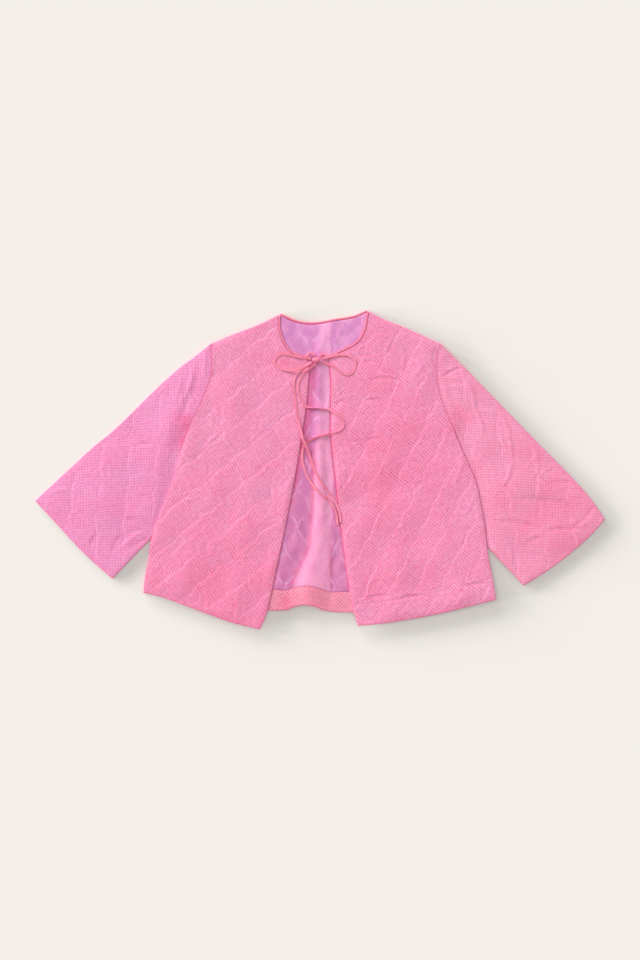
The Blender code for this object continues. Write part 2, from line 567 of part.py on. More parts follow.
def make_sleeve(side):
    """One quilted sleeve as a flattened tube, open at the armhole and the cuff."""
    name = "sleeve_" + side
    armhole, _ = seam_edge(side)
    foot = np.array(UNDERARMS[side][-1])
    upper_fold = curve_through(SLEEVE_TOPS[side], EDGE_SPACING)
    cuff = curve_through(CUFFS[side], EDGE_SPACING)
    underarm = np.vstack([curve_through(UNDERARMS[side], EDGE_SPACING), armhole[-1]])
    armhole = np.vstack([foot, armhole[::-1]])[1:]
    outline, is_open = join_runs((armhole, True), (upper_fold, False), (cuff, True), (underarm, False))
    outer = inset(outline, SEAM_GAP / 2)
    inner = inset(outer, SLEEVE_WALL)
    open_before = np.roll(is_open, 1)
    inner[is_open & open_before] = outer[is_open & open_before]
    for corner in np.flatnonzero(is_open != open_before):
        neighbour = (corner + 1) % len(outer) if is_open[corner] else corner - 1
        along = outer[neighbour] - outer[corner]
        inner[corner] = outer[corner] + along / np.linalg.norm(along) * SLEEVE_WALL

    body = front_loop(side)
    armhole_rise = FRONT_BASE - SLEEVE_WALL - SLEEVE_CAVITY

    def cavity_top(points):
        beside_body = -depth_inside(points, body)
        cap = smooth_step(points[:, 1], TUCK_TOP, TUCK_TOP + 40.0) * (1 - smooth_step(beside_body, 0, 40.0))
        rise = np.maximum(armhole_rise * cap, loft_height(name, points) * smooth_step(beside_body, 4.0, 30.0))
        edge = smooth_step(depth_inside(points, outer), 0, 2.5 * EDGE_FADE)
        at_seam = cap * smooth_step(points[:, 1], TUCK_TOP, TUCK_TOP + 40.0)
        return SLEEVE_WALL + SLEEVE_CAVITY + rise * np.maximum(edge, at_seam)

    def outside_top(points):
        free = smooth_step(-depth_inside(points, body), 1.0, 12.0)
        return cavity_top(points) + SLEEVE_WALL + free * puff_height(QUILTS[name], points, outer, SHELL_PUFF)

    solid = Solid()
    plain = plain_points(inner, PLAIN_SPACING * 0.9, PLAIN_SPACING / 3)
    top = solid.add_layer(outer, quilted_points(QUILTS[name], outer, 4.0), outside_top, faces_up=True)
    ceiling = solid.add_layer(inner, plain, cavity_top, faces_up=False)
    floor = solid.add_layer(inner, plain, lambda p: np.full(len(p), SLEEVE_WALL), faces_up=True)
    under = solid.add_layer(outer, plain, lambda p: np.zeros(len(p)), faces_up=False)
    solid.add_wall(top, under, ~is_open)
    solid.add_wall(ceiling, floor, ~is_open, faces_out=False)
    solid.add_wall(top, ceiling, is_open)
    solid.add_wall(floor, under, is_open)
    for corner in np.flatnonzero(is_open != open_before):
        ring = [ceiling + corner, top + corner, under + corner, floor + corner]
        if not is_open[corner]:
            ring.reverse()
        solid.faces.extend([tuple(ring[:3]), (ring[0], ring[2], ring[3])])
    return solid.make_object(name, "sleeve")


def sweep_strip(path, half_width, half_height):
    """A closed strip with softened edges along a path, flat side down."""
    section = [(-1.0, -0.5), (-0.72, -1.0), (0.72, -1.0), (1.0, -0.5),
               (1.0, 0.5), (0.72, 1.0), (-0.72, 1.0), (-1.0, 0.5)]
    direction = np.gradient(path[:, :2], axis=0)
    direction /= np.linalg.norm(direction, axis=1)[:, None]
    across = np.column_stack([direction[:, 1], -direction[:, 0]])
    solid = Solid()
    size = len(section)
    for place, side in zip(path, across):
        for w, h in section:
            solid.vertices.append(np.array([place[0] + side[0] * w * half_width,
                                            place[1] + side[1] * w * half_width,
                                            place[2] + h * half_height]))
    for ring in range(len(path) - 1):
        for i in range(size):
            a, b = ring * size + i, ring * size + (i + 1) % size
            solid.faces.extend([(a, b + size, b), (a, a + size, b + size)])
    last = (len(path) - 1) * size
    solid.faces.append(tuple(range(size)))
    solid.faces.append(tuple(range(last + size - 1, last - 1, -1)))
    return solid


def make_back_binding():
    """The bias strip that binds the back's neck edge."""
    width = BACK_BINDING_WIDTH / 2
    line = offset_line(curve_through(BACK_NECK, 9.0), -width)
    half_height = (LINING_BASE + LINING_WALL) / 2
    path = np.column_stack([line, np.full(len(line), half_height)])
    return sweep_strip(path, width - SEAM_GAP / 2, half_height).make_object("neck_binding_back", "trim")


def make_front_binding(side):
    """The bias strip that binds one front's neck edge and runs on into the bow."""
    into_panel = 1.0 if side == "left" else -1.0
    width = FRONT_BINDING_WIDTH / 2
    centre_height = FRONT_BASE + FRONT_BINDING_HEIGHT / 2
    bound = curve_through(FRONT_NECKS[side], 8.0)
    bound = offset_line(bound, into_panel * width)[1:]
    root = np.array([(p.x, p.y, centre_height + p.lift) for p in TIE_ROOTS[side]])
    bound = np.column_stack([bound, np.full(len(bound), centre_height)])
    path = curve_through(np.vstack([root[::-1], bound]), 5.0)
    strip = sweep_strip(path, width - SEAM_GAP / 2, FRONT_BINDING_HEIGHT / 2)
    return strip.make_object("neck_binding_" + side, "trim")


def make_knot():
    """The knot of the bow, a small rounded lump."""
    rings, sides = 7, 12
    solid = Solid()
    centre, half = np.array(KNOT_CENTRE), np.array(KNOT_HALF_SIZE)
    for ring in range(1, rings):
        lean = math.pi * ring / rings
        for i in range(sides):
            turn = 2 * math.pi * i / sides
            unit = np.array([math.sin(lean) * math.cos(turn), math.sin(lean) * math.sin(turn), math.cos(lean)])
            solid.vertices.append(centre + unit * half)
    solid.vertices.append(centre + np.array([0, 0, half[2]]))
    solid.vertices.append(centre - np.array([0, 0, half[2]]))
    top, bottom = len(solid.vertices) - 2, len(solid.vertices) - 1
    last = (rings - 2) * sides
    for i in range(sides):
        after = (i + 1) % sides
        solid.faces.append((top, i, after))
        solid.faces.append((bottom, last + after, last + i))
        for ring in range(rings - 2):
            a, b = ring * sides + i, ring * sides + after
            solid.faces.append((a, a + sides, b + sides, b))
    return solid.make_object("bow_knot", "trim")


def cloth_height(points, fronts):
    """Top of the cloth under a place near the opening."""
    lining = fold_height(points) + LINING_BASE + LINING_WALL + LINING_PUFF
    top = lining
    for side, loop in fronts.items():
        over = depth_inside(points, loop) > -FRONT_BINDING_WIDTH - 1.0
        top = np.where(over, np.maximum(top, front_top("front_" + side, points, loop)), top)
    bound = (points[:, 1] > FRONT_NECKS["left"][0].y - 6) & (top > FRONT_BASE)
    return np.where(bound, np.maximum(top, FRONT_BASE + FRONT_BINDING_HEIGHT), top)


def strand_path(route, fronts):
    """A tie's centreline: the route laid on the cloth, lifted where it crosses a strand."""
    radius = TIE_DIAMETER / 2
    fine = curve_through([(p.x, p.y, p.lift) for p in route], 2.0)
    turns = np.linspace(0, 2 * math.pi, 8, endpoint=False)
    rest = cloth_height(fine[:, :2], fronts)
    for turn in turns:
        beside = fine[:, :2] + (radius + 0.8) * np.array([math.cos(turn), math.sin(turn)])
        rest = np.maximum(rest, cloth_height(beside, fronts))
    reach = 4
    padded = np.pad(rest, reach, mode="edge")
    rest = np.max([padded[i:i + len(rest)] for i in range(2 * reach + 1)], axis=0)
    padded = np.pad(rest, reach, mode="edge")
    rest = np.mean([padded[i:i + len(rest)] for i in range(2 * reach + 1)], axis=0)
    fine[:, 2] = rest + SEAM_GAP + radius + np.maximum(fine[:, 2], 0)
    return curve_through(fine[:: 2], TIE_STEP)


def make_strand(strand, fronts):
    """One free stretch of the tie, as a round cord."""
    curve = bpy.data.curves.new(strand.name, "CURVE")
    curve.dimensions = "3D"
    curve.bevel_depth = TIE_DIAMETER / 2 * MM
    curve.bevel_resolution = 2
    curve.use_fill_caps = True
    path = strand_path(strand.route, fronts)
    spline = curve.splines.new("POLY")
    spline.points.add(len(path) - 1)
    for point, place in zip(spline.points, path):
        point.co = (*(place * MM), 1.0)
    curve.materials.append(make_material(strand.name, "trim"))
    thing = bpy.data.objects.new(strand.name, curve)
    bpy.context.scene.collection.objects.link(thing)
    return thing


def main():
    """Makes every piece of the jacket."""
    for thing in list(bpy.data.objects):
        bpy.data.objects.remove(thing, do_unlink=True)
    make_back()
    make_lining()
    make_hem_facing()
    for side in ("left", "right"):
        make_front(side)
        make_sleeve(side)
        make_front_binding(side)
    make_back_binding()
    make_knot()
    fronts = {side: front_loop(side) for side in ("left", "right")}
    for strand in STRANDS:
        make_strand(strand, fronts)


main()
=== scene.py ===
"""Looks of a quilted bed jacket that lies flat with its front side up.

Each cloth piece is a closed thin shell on the form of its solid: quilted between wavy stitching
lines, puckered, creased by listed folds and rounded along its edges. The ties are laid on
the cloth as cords. Sizes are in millimetres unless a name says metres.
"""

import logging
import math
from dataclasses import dataclass, field
from enum import Enum
from typing import Callable, NamedTuple, Sequence

import bpy
import numpy as np
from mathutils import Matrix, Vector
from mathutils.geometry import delaunay_2d_cdt


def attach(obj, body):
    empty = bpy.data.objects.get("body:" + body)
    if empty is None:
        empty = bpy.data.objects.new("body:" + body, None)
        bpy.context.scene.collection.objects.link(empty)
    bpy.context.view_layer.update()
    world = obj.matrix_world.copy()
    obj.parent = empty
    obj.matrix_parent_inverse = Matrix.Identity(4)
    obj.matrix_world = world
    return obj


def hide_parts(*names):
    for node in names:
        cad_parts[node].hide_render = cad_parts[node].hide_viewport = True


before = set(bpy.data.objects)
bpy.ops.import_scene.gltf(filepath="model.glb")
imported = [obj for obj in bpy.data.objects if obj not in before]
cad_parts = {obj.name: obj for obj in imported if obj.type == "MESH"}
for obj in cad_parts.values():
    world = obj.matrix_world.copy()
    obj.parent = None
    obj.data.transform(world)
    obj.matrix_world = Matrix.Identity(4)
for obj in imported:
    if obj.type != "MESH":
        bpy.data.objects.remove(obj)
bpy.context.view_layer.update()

LOG = logging.getLogger("bed_jacket")
MM = 0.001
BODY = "root"
SHELL_SLOT = "shell_cloth"
TRIM_SLOT = "bias_trim"
FULL_TURN = 2 * math.pi

Array = np.ndarray
HeightRule = Callable[[Array, Array], Array]
Socket = bpy.types.NodeSocket
Given = Socket | float


class Point(NamedTuple):
    """A place in plan."""

    x: float
    y: float


class Level(NamedTuple):
    """The left and right limits of a part of the layout at one level."""

    y: float
    left: float
    right: float


class Ridge(NamedTuple):
    """The lining's soft fold at one level."""

    y: float
    centre: float
    half_width: float
    height: float


class FoldShade(NamedTuple):
    """A line of painted shade where the cloth folds: its places, the width of its colour and how deep that is."""

    places: tuple[Point, ...]
    width: float
    share: float


class Loft(NamedTuple):
    """A broad rise of a panel off the layer below."""

    x: float
    y: float
    along: float
    across: float
    angle: float
    height: float


class Crease(NamedTuple):
    """A soft fold between two places: a ridge, or a trough where its height is negative."""

    x1: float
    y1: float
    x2: float
    y2: float
    width: float
    height: float


class Patch(NamedTuple):
    """A soft round patch of painted shade."""

    x: float
    y: float
    reach: float
    share: float


class RoutePoint(NamedTuple):
    """A place on a tie's route, with a lift where one strand crosses another."""

    x: float
    y: float
    lift: float = 0.0


class Side(Enum):
    """The two sides of the jacket as they lie in plan."""

    LEFT = "left"
    RIGHT = "right"

    @property
    def into_panel(self) -> float:
        """The direction from the opening's or neck's edge into that front."""
        return 1.0 if self is Side.LEFT else -1.0


def rows(kind: type, *values: tuple) -> tuple:
    """A table's rows, all of one kind."""
    return tuple(kind(*value) for value in values)


# Side of the body from the shoulder tip down.
BODY_EDGES = rows(Level, (214, -185.6, 205.4), (195, -185, 198.5), (160, -185.5, 197.7), (135, -194, 202),
        (110, -205, 209.5), (80, -220, 222.5), (50, -231, 235), (20, -240, 248), (-15, -249.5, 263.5),
        (-50, -262, 272), (-90, -278, 279.5), (-120, -287, 282.7), (-150, -290.5, 286.5), (-180, -297, 292.3))
# Edges of the two fronts along the opening, from the hem up to the neck.
OPENING_EDGES = rows(Level, (-268, -101, 66.5), (-250, -93, 60), (-225, -86, 54), (-190, -78.2, 47.8),
        (-130, -65.5, 40), (-70, -53.5, 32.5), (0, -40, 25), (60, -30.5, 18.6), (105, -23.5, 18.6),
        (145, -19.6, 19.2), (180, -18.2, 16.5), (187, -19.4, 15))
FRONT_HEMS = {
    Side.LEFT: rows(Point, (-299.9, -208.3), (-267.9, -216), (-231, -229.5), (-190.7, -244.6), (-147, -259.8),
        (-101.7, -270.8)),
    Side.RIGHT: rows(Point, (299, -220), (271.3, -227), (208.9, -242.6), (146.4, -254.7), (104.7, -261),
        (67, -264.3)),
}
SHOULDERS = {
    Side.LEFT: rows(Point, (-71.9, 262.3), (-106.8, 245.5), (-147.1, 230.4), (-185.6, 214)),
    Side.RIGHT: rows(Point, (84.6, 268.6), (104.7, 257.4), (139.4, 243.6), (205.4, 214)),
}
FRONT_NECKS = {
    Side.LEFT: rows(Point, (-20.4, 192.1), (-34, 195.5), (-47.6, 202.3), (-56.1, 211.5), (-62.4, 224.6),
        (-66.8, 241.2), (-67.3, 262)),
    Side.RIGHT: rows(Point, (13.9, 192.9), (28.4, 200.5), (41.5, 206.7), (55.8, 213.9), (67.7, 225.8), (74.8, 242),
        (79.6, 268.4)),
}
BACK_NECK = rows(Point, (-67.4, 265.4), (-62.6, 264.4), (-47.6, 257.2), (-26.4, 251.6), (-0.3, 251.9),
        (27.2, 257.2), (56.6, 262.1), (79, 271.3))
BACK_HEM = rows(Point, (-299.5, -207.5), (-231, -224), (-147, -236), (-88.9, -238.5), (-55.6, -237.8),
        (-41, -231.4), (-24.7, -229), (-8.3, -232.2), (4.6, -237.8), (22.4, -241.1), (56.6, -241.9), (104.7, -241),
        (208.9, -233), (298.5, -219))
FACING_TOP = rows(Point, (-296.3, -177), (-231, -190), (-147, -200), (-80.8, -202.1), (-56.4, -203.7),
        (-44.2, -199.6), (-15, -197.2), (16, -206.2), (51, -206.9), (104.7, -206), (208.9, -198), (292, -178))
SLEEVE_TOPS = {
    Side.LEFT: rows(Point, (-185.6, 214), (-216, 190), (-241, 171.5), (-278, 138), (-348.7, 69), (-387.3, 37.1),
        (-483.8, -52.4)),
    Side.RIGHT: rows(Point, (205.4, 214), (243.6, 176), (309.4, 108.3), (368.4, 47.6), (432.7, -17.7),
        (462.1, -51.7), (484, -84)),
}
CUFFS = {
    Side.LEFT: rows(Point, (-483.8, -52.4), (-442.9, -96.7), (-402.4, -140.4), (-352.8, -184.8)),
    Side.RIGHT: rows(Point, (484, -84), (458.7, -112.4), (427.4, -140.1), (385.7, -171.4), (346, -196.4)),
}
UNDERARMS = {
    Side.LEFT: rows(Point, (-352.8, -184.8), (-321.8, -152.2), (-286.8, -116.4)),
    Side.RIGHT: rows(Point, (346, -196.4), (313, -161), (283.4, -129.7)),
}

# One soft fold of the lining runs down the middle of the back and lifts the hem facing.
BACK_FOLD = rows(Ridge, (250, 2, 12, 0), (190, 0, 11, 1.6), (60, -2, 13, 2.4), (-85, 2, 17, 3), (-150, -6, 30, 3.6),
        (-200, -16, 38, 4.2), (-245, -20, 38, 4.6))

# The lit side of that fold, painted lighter and pinker as painted light, from its left to its right limit.
LINING_LIT_SIDES = rows(Level, (262, 0, 18), (215, 1, 17), (180, 2, 17), (100, 2, 18), (34, -8, 20), (-12, -12, 21),
        (-56, -13, 18), (-107, -17, 17.5), (-136, -22, 17.5), (-161, -34, 17), (-187, -46, 17), (-245, -52, 14))

# Lines of painted shade where the lining folds.
LINING_FOLD_SHADES = (
    FoldShade(rows(Point, (-9, 26), (-12, -12), (-12.8, -56), (-17, -107), (-22, -136), (-34, -161), (-46, -187),
        (-52, -206)), 3.4, 0.42),
    FoldShade(rows(Point, (18.5, -118), (18, -162), (20, -206)), 2.2, 0.35),
    FoldShade(rows(Point, (-17, 44), (-13, 12), (-8, -8)), 6.5, 0.35),
)

LOFTS = {
    "front_left": rows(Loft, (-235, -200, 60, 20, 75, 1.6), (-150, -235, 60, 22, 80, 1.8),
        (-150, 120, 90, 30, 110, 1.2)),
    "front_right": rows(Loft, (235, -205, 60, 20, 105, 1.8), (140, -235, 60, 24, 100, 1.6),
        (150, 110, 90, 30, 65, 1.4)),
    "sleeve_left": rows(Loft, (-330, -20, 150, 58, 42, 2.2), (-225, 140, 70, 26, 70, 1.6)),
    "sleeve_right": rows(Loft, (335, -25, 150, 58, 137, 2.2), (240, 130, 70, 26, 110, 1.6)),
}

# Folds and dents that the cloth has kept from handling.
CREASES = {
    "front_left": rows(Crease, (-197, 34, -173, 61, 3, 0.5), (-170, 109, -172, 71, 3.2, -0.5),
        (-185, 95, -185, 71, 3, 0.4), (-199, 20, -194, -7, 3, 0.4), (-180, 204, -187, 156, 2.4, 0.4),
        (-197, -218, -197, -238, 3, -0.5), (-146, -218, -146, -245, 3.2, -0.5), (-116, 4, -88, -10, 4, -0.4),
        (-128, 214, -96, 198, 3.4, 0.3), (-246, -150, -222, -118, 3.6, 0.4), (-92, -196, -104, -160, 3.4, -0.35),
        (-62, 96, -48, 70, 3, -0.3)),
    "front_right": rows(Crease, (73, 183, 93, 183, 2.8, -0.4), (87, 153, 131, 153, 2.8, -0.5),
        (73, 116, 107, 119, 2.6, -0.55), (25, 112, 44, 117, 2.6, -0.5), (76, 49, 107, 53, 2.8, -0.4),
        (59, -63, 100, -65, 3, -0.4), (76, -219, 124, -214, 2.6, -0.5), (127, -221, 175, -214, 2.6, -0.5),
        (246, -199, 284, -192, 2.8, -0.5), (243, 24, 226, -27, 3, 0.45), (263, -37, 246, -75, 3, 0.45),
        (209, 48, 219, 75, 3, 0.4), (63, 197, 76, 214, 2.6, 0.35), (110, 194, 124, 224, 3, 0.45),
        (139, 211, 138, 160, 3, 0.4), (177, 190, 158, 156, 3, 0.4), (185, 207, 189, 180, 2.2, 0.35),
        (44, -176, 66, -158, 3.4, 0.35)),
    "sleeve_left": rows(Crease, (-333, -83, -309, -88, 2.8, -0.6), (-309, 44, -289, 44, 2.8, -0.5),
        (-309, -42, -296, -46, 2.6, -0.5), (-394, -8, -381, -22, 2.8, -0.5), (-415, -76, -398, -70, 3, -0.5),
        (-391, -131, -377, -107, 3.2, -0.55), (-354, -141, -337, -110, 3.2, -0.5),
        (-323, -134, -286, -114, 3.2, -0.55), (-343, -138, -299, -104, 3.2, 0.5), (-456, -39, -428, -32, 3, 0.5),
        (-212, 184, -230, 122, 2.2, 0.36), (-194, 150, -207, 104, 2.2, 0.45), (-208, 172, -204, 131, 2, 0.42),
        (-262, 96, -256, 60, 3, 0.5), (-222, 186, -219, 150, 2, 0.35), (-238, 140, -234, 108, 2.2, 0.4),
        (-196, 204, -198, 166, 2.2, 0.6), (-236, 158, -246, 120, 2.8, 0.4), (-222, 130, -212, 110, 2.4, 0.5),
        (-246, 108, -238, 84, 3, 0.35), (-366, 20, -352, -14, 3.4, 0.35), (-432, -92, -418, -112, 3, 0.4)),
    "sleeve_right": rows(Crease, (206, 156, 240, 173, 2.8, -0.65), (204, 185, 216, 199, 2.4, 0.5),
        (219, 150, 246, 148, 2.4, -0.45), (212, 138, 263, 139, 2.6, 0.45), (250, 148, 263, 104, 3, 0.85),
        (263, 104, 277, 59, 3, 0.8), (309, 93, 325, 12, 3.2, 0.7), (325, 12, 309, -29, 3.2, 0.6),
        (362, 39, 369, -5, 3, 0.4), (228, 100, 229, 80, 2.6, -0.4), (229, 80, 250, 32, 2.8, -0.45),
        (263, 100, 308, 93, 2.6, 0.35), (379, -5, 393, 5, 2.6, 0.4), (389, -22, 437, -24, 3, -0.45),
        (420, -8, 422, -32, 2.8, -0.35), (464, -63, 427, -100, 3.4, -0.6), (345, -127, 377, -114, 3, -0.6),
        (328, -49, 450, -70, 5.5, -0.5), (304, -87, 382, -104, 4, -0.5), (382, -104, 461, -104, 4, -0.45),
        (294, -100, 321, -131, 3, 0.5), (321, -131, 325, -155, 3, 0.5)),
    "back_lining": rows(Crease, (-46, -60, -30, -150, 5, 0.5), (20, 180, 8, 90, 3.4, 0.45),
        (-8, 170, -14, 96, 2.6, -0.45), (-14, 60, -18, -20, 3, 0.4), (14, 40, 20, -70, 3.4, 0.5),
        (-34, -140, -40, -196, 5, -0.6), (10, -120, 6, -200, 6, 0.6), (-40, 236, -26, 216, 4, 0.5),
        (34, 238, 26, 214, 4, 0.5), (16, -30, 15.5, -170, 2.4, 0.5)),
    "back_hem_facing": rows(Crease, (30, -215, 20, -238, 5, 0.5), (-62, -206, -56, -234, 3.4, -0.5),
        (-48, -204, -44, -230, 3, 0.5), (48, -212, 44, -238, 4, -0.35)),
}

# Soft patches of painted shade, by seams and where parts are turned from the light.
PAINTED_SHADE_PATCHES = {
    "front_left": rows(Patch, (-160, -185, 130, 0.42), (-30, 150, 26, 0.25), (-60, 184, 9, 0.5)),
    "front_right": rows(Patch, (120, 30, 95, 0.42), (110, -150, 110, 0.24), (90, 160, 60, 0.16)),
    "sleeve_left": rows(Patch, (-229, 82, 17, 0.75), (-236, 50, 14, 0.55), (-340, -30, 160, 0.14),
        (-206, 130, 20, 0.25)),
    "sleeve_right": rows(Patch, (330, 0, 130, 0.16), (400, -85, 90, 0.34), (232, 90, 22, 0.4), (230, 160, 40, 0.12)),
    "back_hem_facing": rows(Patch, (-60, -220, 14, 0.7), (-15, -222, 30, 0.25)),
}

# Walls and the heights of the layers above the surface.
BACK_WALL = 1.6
LINING_WALL = 1.2
FRONT_WALL = 1.3
SLEEVE_WALL = 1.3
LAYER_GAP = 0.4
SEAM_GAP = 0.3
LINING_BASE = BACK_WALL + LAYER_GAP
FRONT_BASE = LINING_BASE + LINING_WALL + LAYER_GAP
SLEEVE_CAVITY = 0.4
EDGE_FADE = 9.0
FRONT_BINDING_WIDTH = 3.4
BACK_BINDING_WIDTH = 3.8
FRONT_BINDING_HEIGHT = 1.9
TUCK_DEPTH = 16.0
TUCK_RISE = 12.0
TUCK_TOP = 42.0
TUCK_LENGTH = 75.0
FOOT_SLANT = 1.05
FOOT_CLEARANCE = 5.0
CORNER_CLEARANCE = 2.0

# Shares of a crease's length or width, and of a wall that the relief may take away.
CREASE_BOW = 0.06
CREASE_TROUGH = 0.35
TROUGH_OFFSET = 1.9
MOST_THINNING = 0.6

# How finely the meshes follow the cloth, and limits of the work on them.
OUTLINE_SPACING = 2.6
ROUGH_SPACING = 6.0
PLAIN_SPACING = 14.0
RIM_RINGS = (0.35, 0.9, 1.8)
RIM_DROP = 0.85
MESH_MARGIN = 2.6
RING_MARGIN = 0.85
FINE_UNDER_FRONTS = 8.0
PLAIN_UNDER_FRONTS = 12.0
FAR_INSIDE = 99.0
CURVE_STEPS = 24
SHARPEST_CORNER = 0.4
MOST_PAIRS = 1_500_000
WELD_REACH = 1e-5

GINGHAM_REPEAT = 4.6


def curve_through(points: Sequence[Sequence[float]], spacing: float) -> Array:
    """Evenly spread points on a smooth curve through the given ones.

    Args:
        points: The places that the curve passes.
        spacing: About how far apart the returned points are.

    Returns:
        One row for each point.
    """
    given = [np.array(p, dtype=float) for p in points]
    ends = [2 * given[0] - given[1]] + given + [2 * given[-1] - given[-2]]
    curve = []
    for i in range(1, len(ends) - 2):
        before, start, finish, after = ends[i - 1:i + 3]
        chord = np.linalg.norm(finish - start)
        start_pull = (finish - before) * chord / (chord + np.linalg.norm(start - before))
        finish_pull = (after - start) * chord / (chord + np.linalg.norm(after - finish))
        for t in np.linspace(0, 1, CURVE_STEPS, endpoint=False):
            curve.append((2 * t**3 - 3 * t**2 + 1) * start + (t**3 - 2 * t**2 + t) * start_pull
                         + (3 * t**2 - 2 * t**3) * finish + (t**3 - t**2) * finish_pull)
    curve.append(given[-1])
    return respaced(np.array(curve), spacing)


def unit_rows(vectors: Array) -> Array:
    """The vectors, each made one long."""
    return vectors / np.linalg.norm(vectors, axis=1)[:, None]


def to_left(vectors: Array) -> Array:
    """The vectors after a quarter turn to their left."""
    return np.column_stack([-vectors[:, 1], vectors[:, 0]])


def run_along(line: Array) -> Array:
    """How far along an open line each of its points lies."""
    return np.concatenate([[0], np.cumsum(np.linalg.norm(np.diff(line, axis=0), axis=1))])


def respaced(line: Array, spacing: float) -> Array:
    """The open line with its points about `spacing` apart.

    Args:
        line: An open line.
        spacing: About how far apart the points are.

    Returns:
        One row for each point.
    """
    along = run_along(line)
    count = max(2, int(round(along[-1] / spacing)) + 1)
    marks = np.linspace(0, along[-1], count)
    return np.column_stack([np.interp(marks, along, column) for column in line.T])


def offset_line(line: Array, distance: float) -> Array:
    """An open line moved to its left."""
    return line + to_left(unit_rows(np.gradient(line, axis=0))) * distance


def signed_area(loop: Array) -> float:
    """Area inside the loop, negative where it runs clockwise."""
    following = np.roll(loop, -1, axis=0)
    return float(np.sum(loop[:, 0] * following[:, 1] - following[:, 0] * loop[:, 1])) / 2


def turn_anticlockwise(loop: Array, flags: Array) -> tuple[Array, Array]:
    """The loop in anticlockwise order, with one flag for the stretch after each point.

    Args:
        loop: The closed edge.
        flags: One flag for the stretch after each point.

    Returns:
        The loop and its flags.
    """
    if signed_area(loop) > 0:
        return loop, flags
    return loop[::-1].copy(), np.roll(flags[::-1], -1)


def join_runs(*runs: tuple[Array, bool]) -> tuple[Array, Array]:
    """One closed loop from runs that start where the last one ended, with each stretch's flag.

    Args:
        runs: The points of each run, and its flag.

    Returns:
        The loop and its flags.
    """
    loop = np.concatenate([line[:-1] for line, _ in runs])
    flags = np.concatenate([np.full(len(line) - 1, flag) for line, flag in runs])
    return turn_anticlockwise(loop, flags)


def inset(loop: Array, distance: float) -> Array:
    """An anticlockwise loop moved inward.

    Args:
        loop: The closed edge.
        distance: How far it is moved.

    Returns:
        One row for each point.
    """
    first = to_left(unit_rows(loop - np.roll(loop, 1, axis=0)))
    inward = unit_rows(first + to_left(unit_rows(np.roll(loop, -1, axis=0) - loop)))
    stretch = distance / np.maximum(SHARPEST_CORNER, np.sum(inward * first, axis=1))
    return loop + inward * stretch[:, None]


def cut_loop(*lines: Array) -> Array:
    """The closed edge of a cut piece from the lines round it, half a seam's gap inside them.

    Args:
        lines: The lines in their order round the piece.

    Returns:
        The loop, anticlockwise.
    """
    line = np.vstack(lines)
    loop, _ = turn_anticlockwise(line, np.ones(len(line), dtype=bool))
    return inset(loop, SEAM_GAP / 2)


def depth_inside(points: Array, loop: Array) -> Array:
    """How far each point lies inside the loop, negative where it is outside.

    Args:
        points: Places in plan.
        loop: The closed edge.

    Returns:
        One depth for each place.
    """
    start = loop
    step = np.roll(loop, -1, axis=0) - start
    length = np.sum(step * step, axis=1)
    depths = []
    for block in np.array_split(points, max(1, len(points) * len(loop) // MOST_PAIRS)):
        reach_x = block[:, 0, None] - start[None, :, 0]
        reach_y = block[:, 1, None] - start[None, :, 1]
        share = np.clip((reach_x * step[:, 0] + reach_y * step[:, 1]) / length, 0, 1)
        away = (reach_x - share * step[:, 0]) ** 2 + (reach_y - share * step[:, 1]) ** 2
        spans = (start[:, 1] > block[:, 1, None]) != (start[:, 1] + step[:, 1] > block[:, 1, None])
        with np.errstate(divide="ignore", invalid="ignore"):
            crossing = start[:, 0] + step[:, 0] * reach_y / step[:, 1]
        inside = np.sum(spans & (block[:, 0, None] < crossing), axis=1) % 2 == 1
        depths.append(np.where(inside, 1, -1) * np.sqrt(away.min(axis=1)))
    return np.concatenate(depths)


def nearest_on_line(points: Array, line: Array) -> tuple[Array, Array]:
    """How far each point is from an open line, and how far along it the nearest place lies.

    Args:
        points: Places in plan.
        line: An open line.

    Returns:
        A distance for each place, and a run along the line.
    """
    step = np.diff(line, axis=0)
    length = np.linalg.norm(step, axis=1)
    before = run_along(line)
    distances, places = [], []
    for block in np.array_split(points, max(1, len(points) * len(line) // MOST_PAIRS)):
        reach = block[:, None, :] - line[None, :-1, :]
        share = np.clip(np.sum(reach * step, axis=2) / length ** 2, 0, 1)
        away = np.linalg.norm(reach - share[..., None] * step, axis=2)
        nearest = away.argmin(axis=1)
        order = np.arange(len(block))
        distances.append(away[order, nearest])
        places.append(before[nearest] + share[order, nearest] * length[nearest])
    return np.concatenate(distances), np.concatenate(places)


def distance_to_line(points: Array, line: Array) -> Array:
    """How far each point is from an open line."""
    return nearest_on_line(points, line)[0]


def seam_puckers(points: Array, line: Array, length: float, reach: float, seed: int) -> Array:
    """Short uneven gathers that run out from a seam, mostly between -1 and 1.

    Args:
        points: Places in plan.
        line: The seam.
        length: The usual distance along the seam from one gather to the next.
        reach: How far out from the seam they go.
        seed: Which of the many uneven rows it is.

    Returns:
        One value for each point.
    """
    distance, along = nearest_on_line(points, line)
    wander = 1.4 * np.sin(along / 16.0 + seed) + 0.9 * np.sin(along / 6.1 + 2 * seed)
    strength = 0.6 + 0.4 * np.sin(along / 11.0 + 3 * seed)
    spread = reach * (0.8 + 0.4 * np.sin(along / 8.0 + seed))
    return strength * np.sin(along * FULL_TURN / length + wander) * np.exp(-(distance / spread) ** 2)


def smooth_step(values: Array, low: float, high: float) -> Array:
    """Rises from 0 at `low` to 1 at `high` with level ends."""
    t = np.clip((values - low) / (high - low), 0, 1)
    return t * t * (3 - 2 * t)


